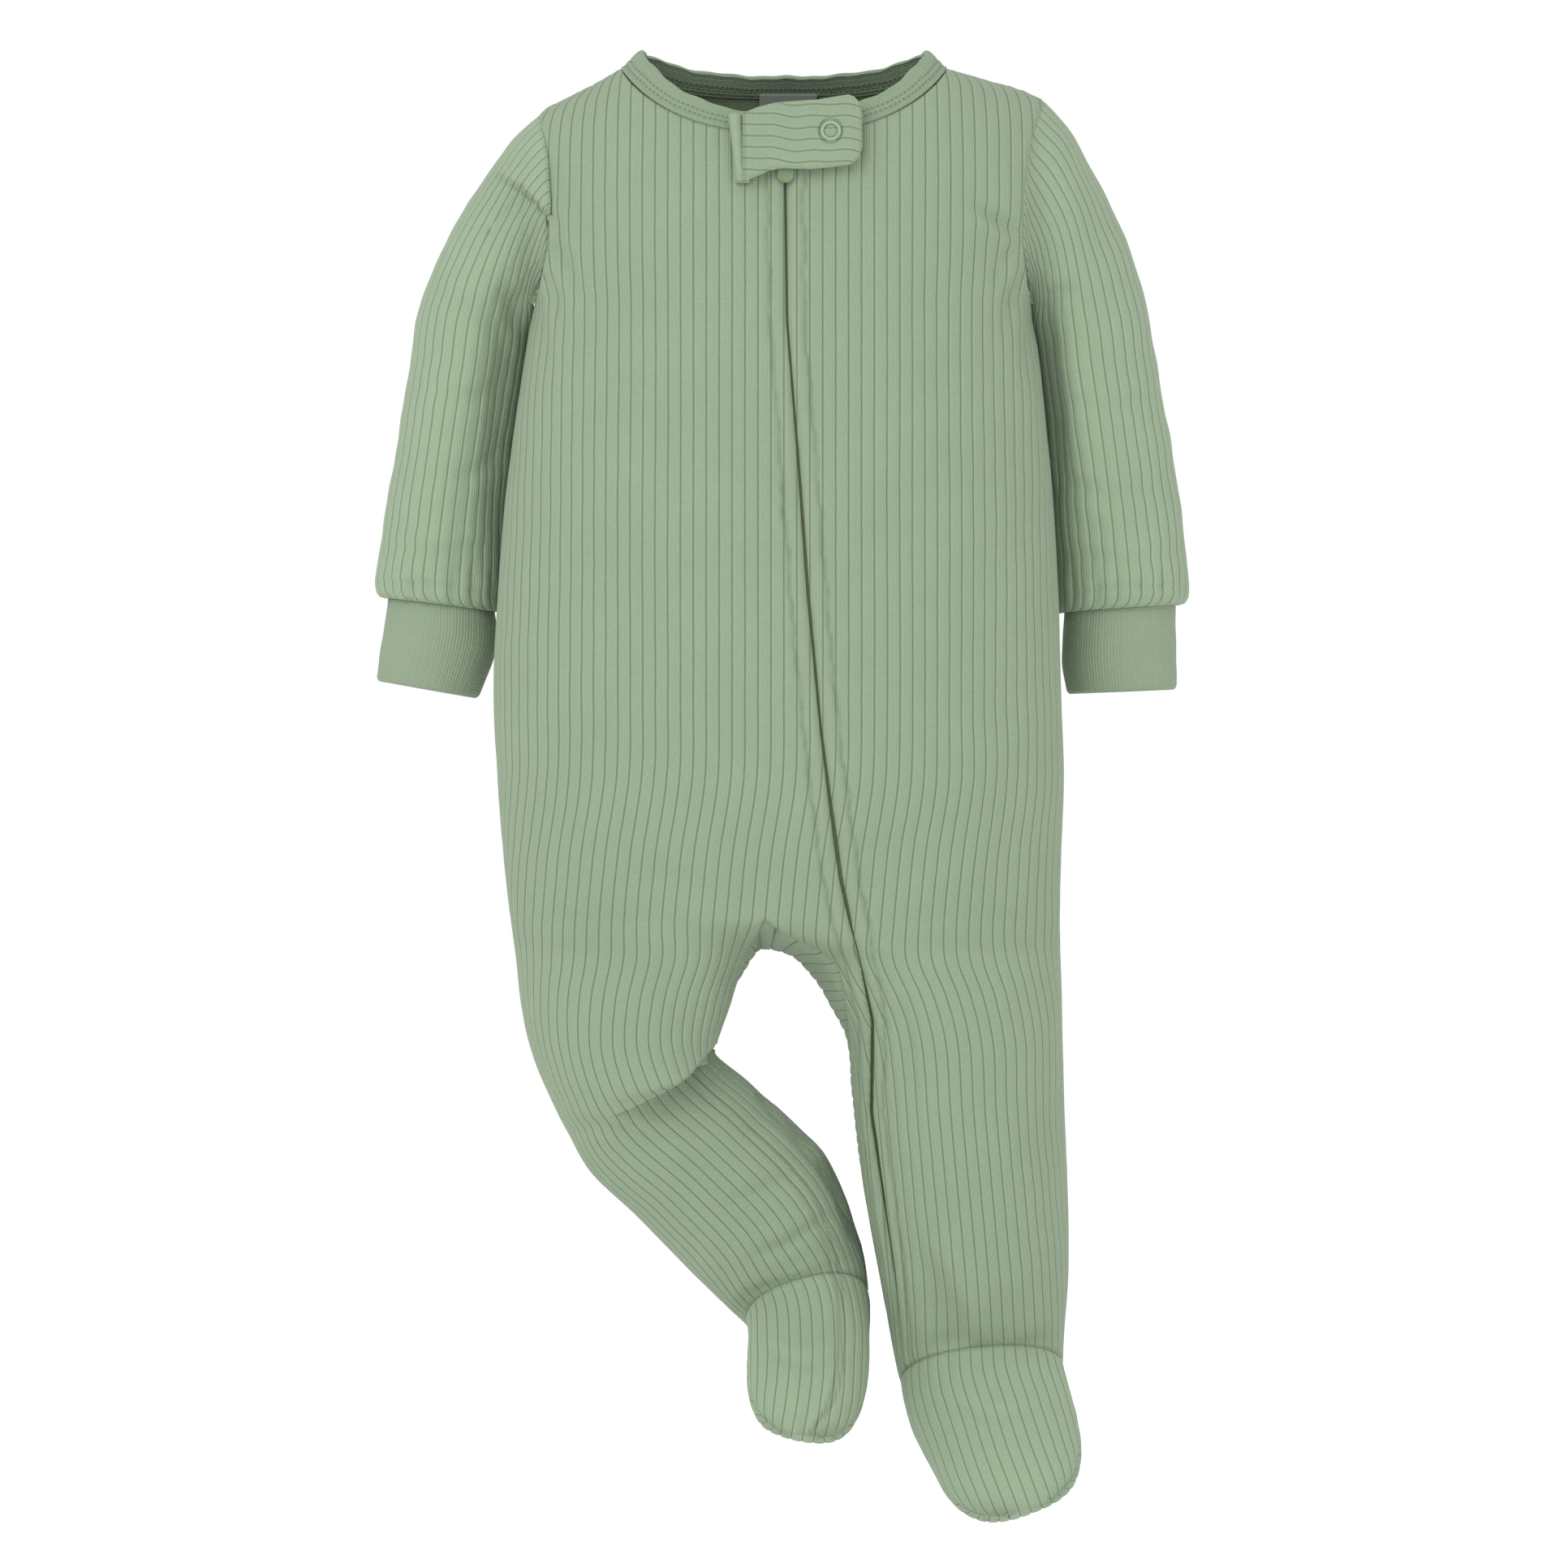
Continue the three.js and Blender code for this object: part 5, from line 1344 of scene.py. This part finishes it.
def buildCuff(halfName, half):
    ends = np.linspace(0, 1, cuff["columns"], endpoint=False)
    outer = fillBetween([ringPoints(half, ring, ends) for ring in cuffRings[halfName]], cuff["step"])
    normals = normalsOf(outer, outer - outer.mean(axis=1, keepdims=True), closed=True)
    down = lengths(outer[:, 0])
    toEnd = down[-1] - down
    seamDepth, seamReach = cuff["seam"]
    endDepth, endReach = cuff["end"]
    count, height = cuff["ridges"]
    puff = cuff["puff"] * np.sin(pi * down / down[-1]) - seamDepth * np.exp(-((down / seamReach) ** 2))
    puff -= endDepth * np.exp(-((toEnd / endReach) ** 2))
    ridges = height * np.sin(2 * pi * ends * count)
    lift = puff[:, None] + cuff["wave"] * waveLift(outer, 1.0) + ridges[None, :]
    around = np.broadcast_to(ends * cuff["ribs"], outer.shape[:2])
    downs = np.broadcast_to(down[:, None], outer.shape[:2])
    inner = outer + normals * (lift - cuff["thick"])[:, :, None]
    wall = Wall(cuff["thick"])
    wall.grid(outer + normals * lift[:, :, None], inner, around, downs, closed=True)
    makePiece("cuff" + halfName.capitalize(), wall, cuffRib, ["cuff_" + halfName])


for halfName, half in halves.items():
    buildSleeve(halfName, half)
    buildCuff(halfName, half)
print("sleeves made")

band = {
    "gap": 1.4,
    "lean": 1.05,
    "columns": 420,
    "thick": 2.4,
    "rib": 1.25,
    "easeTurns": 6,
    # Heights and how far its face stands out there, then how it turns over at the top.
    "profile": (
        (0.1, -0.3), (0.35, 0.35), (0.8, 0.62), (1.3, 0.6), (1.65, 0.2), (2.1, 0.28),
        (2.9, 0.2), (3.6, 0.5), (4.6, 0.5), (5.4, 0.22), (6.2, 0.5), (7.6, 0.62),
        (9.2, 0.6), (10.4, 0.4), (11.1, 0.0), (11.45, -0.6), (11.5, -1.2),
    ),
}


def buildBand():
    share = np.linspace(0, 1, 160)
    middle = zipX(0)
    right = middle - band["gap"] / 2 + share * (band["gap"] / 2 - neck["half"] - middle)
    left = neck["half"] + share * (middle + band["gap"] / 2 - neck["half"])
    backAcross = -neck["half"] * np.cos(pi * np.linspace(0, 1, 320)[1:-1])
    pieces = []
    for face, x in (("front", right), ("back", backAcross), ("front", left)):
        out = np.abs(x)
        sides = [yokeSurface(half, face, out, topEdge(half, out, face)) for half in halves.values()]
        pieces.append(np.where((x < 0)[:, None], *sides))
        pieces[-1][:, 0] = x
    base = np.concatenate(pieces)
    run = lengths(base)
    even = np.linspace(0, run[-1], band["columns"])
    base = np.stack([np.interp(even, run, base[:, i]) for i in range(3)], axis=1)
    for turn in range(band["easeTurns"]):
        base[1:-1] = 0.5 * base[1:-1] + 0.25 * (base[:-2] + base[2:])
    inwards = -base * np.array([1, 1, 0])
    inwards /= np.linalg.norm(inwards, axis=1, keepdims=True)
    up = np.array([0, 0, 1.0])
    rise = up + inwards * band["lean"]
    rise /= np.linalg.norm(rise, axis=1, keepdims=True)
    out = up * band["lean"] - inwards
    out /= np.linalg.norm(out, axis=1, keepdims=True)
    heights = np.array(band["profile"])
    uneven = 1 + 0.03 * np.sin(even * 0.21) + 0.02 * np.sin(even * 0.47 + 1)
    rises = rise * heights[:, 0, None, None] * uneven[:, None]
    depth = np.minimum(0.2 * np.sin(heights[:, 0] * 2) - band["thick"], heights[:, 1] - 0.05)
    outer = base + rises + out * heights[:, 1, None, None]
    inner = base + rises + out * depth[:, None, None]
    places = np.broadcast_to(even / band["rib"], outer.shape[:2])
    downs = np.broadcast_to(heights[:, :1], outer.shape[:2])
    wall = Wall(band["thick"])
    wall.grid(outer, inner, places, downs)
    makePiece("neckBand", wall, bandRib, ["neckband"])


buildBand()


# A place on the chest with a lift along the normal.
def chestPoints(x, z, lift):
    x, z, lift = np.broadcast_arrays(x, z, lift)
    up = chestSurface("front", x, z + 0.5) - chestSurface("front", x, z - 0.5)
    across = chestSurface("front", x + 0.5, z) - chestSurface("front", x - 0.5, z)
    normal = np.cross(across, up)
    normal /= np.linalg.norm(normal, axis=-1, keepdims=True)
    return chestSurface("front", x, z) + normal * lift[..., None]


flap = {
    "lift": 5.8,
    "thick": 1.5,
    "pitch": 4.3,
    "columns": 150,
    "rows": 96,
    "left": -16.3,
    "right": 30.8,
    "top": (
        (-16.3, -25.1), (-10.4, -22.8), (-3.6, -21.2), (3.3, -20.8), (13.7, -20.2), (20.5, -18.9),
        (25.4, -18.2), (27.6, -18.9), (29.4, -20.6), (30.4, -23.0), (30.8, -25.5),
    ),
    "bottom": (
        (-16.3, -51.4), (-14.6, -51.1), (-9.4, -48.9), (-5.9, -47.3), (-1.3, -46.3), (10.1, -46.7),
        (20.5, -45.7), (25.4, -45.1), (27.6, -44.2), (29.4, -42.3), (30.4, -40.1), (30.8, -38.1),
    ),
}
snap = {
    "x": 18.4,
    "z": -32.3,
    "base": 7.7,
    "grooves": ((4.45, 0.9), (2.75, 0.5)),  # radius and depth of what it presses into the flap
    "clear": (4.2, 5.2),
    "sides": 48,
    # Radius and height over its base.
    "profile": (
        (2.9, -0.6), (4.1, -0.6), (4.2, 0.1), (4.05, 0.5),
        (3.75, 0.7), (3.35, 0.7), (3.0, 0.5), (2.8, 0.1),
    ),
}
stay = {
    "left": -22.2,
    "right": -16.6,
    "top": -24.6,
    "bottom": -51.6,
    "foot": 0.6,
    "crest": 7.0,
    "slope": 0.115,
    "thick": 1.2,
}


def buildFlap():
    x = np.linspace(flap["left"], flap["right"], flap["columns"])
    top = np.interp(x, *np.array(flap["top"]).T)
    bottom = np.interp(x, *np.array(flap["bottom"]).T)
    share = np.linspace(0, 1, flap["rows"])[:, None]
    z = top + share * (bottom - top)
    x = np.broadcast_to(x, z.shape)
    wavy = z + 0.5 * np.sin(x * 0.19 + 0.5) + 0.3 * np.sin(x * 0.43) + 0.036 * (x + 16)
    places = -wavy / flap["pitch"]
    toEdge = np.minimum(np.minimum(top - z, z - bottom), flap["right"] - x)
    fromStay = x - flap["left"]
    drawn = -0.9 * np.exp(-((toEdge / 0.55) ** 2)) - 0.5 * np.exp(-((fromStay / 1.0) ** 2))
    drawn -= 0.9 * np.exp(-(((fromStay - 1.1) / 0.6) ** 2))
    puff = 0.5 * smooth(toEdge, 0, 5) + 0.35 * np.sin(x * 0.17) * np.sin(z * 0.2)
    fromSnap = np.hypot(x - snap["x"], z - snap["z"])
    for radius, depth in snap["grooves"]:
        drawn -= depth * np.exp(-(((fromSnap - radius) / 0.42) ** 2))
    lift = flap["lift"] + flap["thick"] + drawn + puff
    lift += 0.9 * ribHeight(places) * smooth(toEdge, 0.1, 1.4) * smooth(fromSnap, *snap["clear"])
    wall = Wall(flap["thick"])
    wall.grid(chestPoints(x, z, lift), chestPoints(x, z, flap["lift"]), places, x + 30)
    makePiece("zipFlap", wall, bodyJersey, ["zip_flap"])


# The folded strip that the flap is sewn to.
def buildStay():
    turn = np.linspace(0, pi, 17)
    wide = (stay["right"] - stay["left"]) / 2
    z = np.linspace(stay["top"], stay["bottom"], 60)[:, None]
    x = stay["left"] + wide * (1 - np.cos(turn)) + stay["slope"] * (stay["top"] - z)
    ends = smooth(np.minimum(stay["top"] - z, z - stay["bottom"]), -0.4, 1.0)
    lift = stay["foot"] + (stay["crest"] - stay["foot"]) * np.sin(turn) ** 0.4 * (0.35 + 0.65 * ends)
    lift += 0.25 * np.sin(z * 0.9) * np.sin(turn)
    inner = chestPoints(x, z, np.maximum(lift - stay["thick"], 0.3))
    places = np.broadcast_to(turn / 8 + 0.3, lift.shape)
    wall = Wall(stay["thick"])
    wall.grid(chestPoints(x, z, lift), inner, places, np.broadcast_to(-z, lift.shape))
    makePiece("flapStay", wall, bodyJersey, ["flap_stay"])


buildFlap()
buildStay()


# The ring of the snap, turned about the flap's normal.
def buildSnap():
    profile = np.array(snap["profile"])
    turn = np.linspace(0, 2 * pi, snap["sides"], endpoint=False)
    foot, top = (chestPoints(snap["x"], snap["z"], snap["base"] + rise) for rise in (0.0, 1.0))
    axis = top - foot
    side = np.cross(axis, [0, 0, 1.0])
    side /= np.linalg.norm(side)
    other = np.cross(axis, side)
    ring = np.cos(turn)[:, None] * side + np.sin(turn)[:, None] * other
    points = foot + profile[:, 0, None, None] * ring + profile[:, 1, None, None] * axis
    wall = Wall(0.5)
    rows = []
    for n in range(len(points)):
        index = wall.add(points[n], turn * 3, np.full(len(turn), 1.0 * n), 0)
        rows.append((list(range(len(turn) + 1)), index + index[:1]))
    for upper, lower in zip(rows, rows[1:] + rows[:1]):
        wall.stitch(upper, lower, False)
    makePiece("snapRing", wall, snapGreen, ["snap_ring"])


buildSnap()

zipLook = {
    "top": -32.5,
    "end": -530,
    "step": 0.4,
    "half": 1.9,
    "depth": 2.0,
    "base": 3.2,
    "toothPitch": 1.25,
    "tooth": 0.32,
    "crown": 0.25,
    "right": 0.4,  # the wearer's left half lies this much higher
}


# Places beside the middle of the zip, and the normals there.
def frontPlaces(z, offsets):
    rows = []
    for row in [*frontTrunk, *leftFrontLeg[1:]]:
        places = [zipRib(row, 0, offset) for offset in offsets]
        ribs = row[:, columnOf["rib"]]
        rows.append(np.stack([np.interp(places, ribs, row[:, k]) for k in range(6)], axis=1))
    rows = np.array(rows)
    middle = -rows[:, len(offsets) // 2, 2]
    order = np.argsort(middle)
    found = np.empty((len(z), len(offsets), 6))
    for column in range(len(offsets)):
        for k in range(6):
            found[:, column, k] = np.interp(-z, middle[order], rows[order, column, k])
    return found[:, :, :3], found[:, :, 3:]


def buildTeeth():
    z = np.arange(zipLook["top"], zipLook["end"], -zipLook["step"])
    offsets = np.linspace(-zipLook["half"], zipLook["half"], 7)
    points, normals = frontPlaces(z, offsets)
    along = lengths(points[:, 3])[:, None]
    side = offsets[None, :] / zipLook["half"]
    tooth = np.sin(2 * pi * (along / zipLook["toothPitch"] + np.where(side > 0, 0.5, 0)))
    lift = zipLook["tooth"] * tooth * smooth(np.abs(side), 0.1, 0.5) + zipLook["crown"] * (1 - np.abs(side))
    lift = lift + zipLook["right"] * smooth(side, 0.1, 0.6) - zipLook["depth"]
    wall = Wall(1.2)
    inner = points - normals * zipLook["base"]
    sides, runs = np.broadcast_arrays(side, along)
    wall.grid(points + normals * lift[:, :, None], inner, sides, runs)
    makePiece("zipTeeth", wall, coilPlastic, ["zip_teeth"])


buildTeeth()

pull = {
    "hinge": -37.5,
    "bottom": -51.2,
    "wide": 6.8,
    "lift": 1.95,
    "thick": 1.1,
    "frame": (0.45, 0.8, 1.5),  # depth of its middle, and the distances from the rim where that starts
    "rim": (0.5, 0.35),
}
slider = {
    "top": -34,
    "bottom": -45,
    "half": 3.8,
    "narrower": 1.3,
    "low": 0.5,
    "high": 1.9,
    "round": 0.4,
}
fittingSides = np.linspace(-1, 1, 21)[None, :]


# The pull hangs straight down from its hinge, clear of the cloth.
def buildPull():
    x = zipX(pull["hinge"])
    half = pull["wide"] / 2
    z = np.linspace(pull["hinge"], pull["bottom"], 46)[:, None]
    toEnd = z - pull["bottom"]
    reach = np.where(toEnd < half, np.sqrt(np.maximum(half**2 - (half - toEnd) ** 2, 0.01)), half)
    across = fittingSides * reach
    rim = np.minimum(half - np.abs(across), np.maximum(reach - np.abs(across), 0))
    depth, nearRim, farRim = pull["frame"]
    rimDepth, rimReach = pull["rim"]
    lift = pull["lift"] + pull["thick"] - depth * smooth(rim, nearRim, farRim)
    lift -= rimDepth * np.exp(-((rim / rimReach) ** 2))
    seat = min(chestPoints(x, z, 0.0)[1] for z in (pull["bottom"], pull["hinge"]))
    flat = np.full(lift.shape, seat - pull["lift"])
    xs = x + across
    zs = np.broadcast_to(z, lift.shape)
    wall = Wall(pull["thick"])
    wall.grid(np.stack([xs, seat - lift, zs], axis=2), np.stack([xs, flat, zs], axis=2), across, zs)
    makePiece("zipPull", wall, fitting, ["zip_pull"], "pull")


def buildSlider():
    z = np.linspace(slider["top"], slider["bottom"], 20)[:, None]
    share = (slider["top"] - z) / (slider["top"] - slider["bottom"])
    xs = zipX(pull["hinge"]) + fittingSides * (slider["half"] - slider["narrower"] * share)
    lift = slider["high"] - slider["round"] * np.abs(fittingSides) ** 4
    xs, zs, lift = np.broadcast_arrays(xs, z, lift)
    wall = Wall(1.4)
    wall.grid(chestPoints(xs, zs, lift), chestPoints(xs, zs, slider["low"]), xs, zs)
    makePiece("zipSlider", wall, fitting, ["zip_slider"])


buildPull()
buildSlider()

label = {"left": -10, "right": 13.6, "top": -11.5, "bottom": -40, "lift": 3.0, "thick": 0.8, "cells": 30}


def buildLabel():
    x = np.linspace(label["left"], label["right"], label["cells"])[None, :]
    z = np.linspace(label["top"], label["bottom"], label["cells"])[:, None]
    x, z = np.broadcast_arrays(x, z)
    surface = chestSurface("back", x, z)
    bow = 0.24 * np.sin((x + 10) * 0.13) + 0.15 * np.sin((z + 10) * 0.16)
    inwards = np.array([0, -1, 0])
    outer = surface + (label["lift"] + label["thick"] + bow)[..., None] * inwards
    inner = surface + (label["lift"] + bow)[..., None] * inwards
    wall = Wall(label["thick"])
    wall.grid(outer, inner, x, z)
    makePiece("neckLabel", wall, labelCloth, ["neck_label"])


buildLabel()
plainPieces = {"zip_tape_right": tapeCloth, "zip_tape_left": tapeCloth, "snap_stud": snapGreen}
for name, material in plainPieces.items():
    node = bpy.data.objects[name]
    node.data.materials.clear()
    node.data.materials.append(material)
print("trim made")

studio = {
    "floor": -0.64,
    "far": 8,
    "glow": 0.2,
    "sky": 1.0,
    "lens": 340,
    "camera": (0.0, -6.0, -0.2925),
    "aim": (0, 0, -0.3),
    "key": {"at": (-1.1, -1.8, 0.9), "size": 1.4, "power": 17},
    "fill": {"at": (1.4, -2.2, -0.45), "size": 1.6, "power": 9},
}
white = (1, 1, 1, 1)


def buildStudio():
    mesh = bpy.data.meshes.new("floor")
    far = studio["far"]
    corners = [(x, y, studio["floor"]) for x, y in ((-far, -far), (far, -far), (far, far), (-far, far))]
    mesh.from_pydata(corners, [], [(0, 1, 2, 3)])
    ground = bpy.data.objects.new("floor", mesh)
    bpy.context.collection.objects.link(ground)
    glow = {"Roughness": 0.9, "Emission_Color": white, "Emission_Strength": studio["glow"]}
    mesh.materials.append(plainMaterial("paleFloor", (0.88, 0.88, 0.88), 0.0, **glow))
    world = bpy.data.worlds.new("studio")
    world.use_nodes = True
    world.node_tree.nodes["Background"].inputs["Color"].default_value = white
    world.node_tree.nodes["Background"].inputs["Strength"].default_value = studio["sky"]
    bpy.context.scene.world = world
    aim = Vector(studio["aim"])
    for name in ("key", "fill"):
        lamp = bpy.data.lights.new(name, "AREA")
        lamp.shape = "DISK"
        lamp.size = studio[name]["size"]
        lamp.energy = studio[name]["power"]
        light = bpy.data.objects.new(name, lamp)
        light.location = studio[name]["at"]
        light.rotation_euler = (aim - light.location).to_track_quat("-Z", "Y").to_euler()
        bpy.context.collection.objects.link(light)
    lens = bpy.data.cameras.new("camera")
    lens.lens = studio["lens"]
    lens.sensor_width = 36
    lens.clip_start = 0.05
    lens.clip_end = 30
    camera = bpy.data.objects.new("camera", lens)
    camera.location = studio["camera"]
    camera.rotation_euler = (radians(90), 0, 0)
    bpy.context.collection.objects.link(camera)
    bpy.context.scene.camera = camera
    bpy.context.scene.view_settings.view_transform = "Standard"


buildStudio()
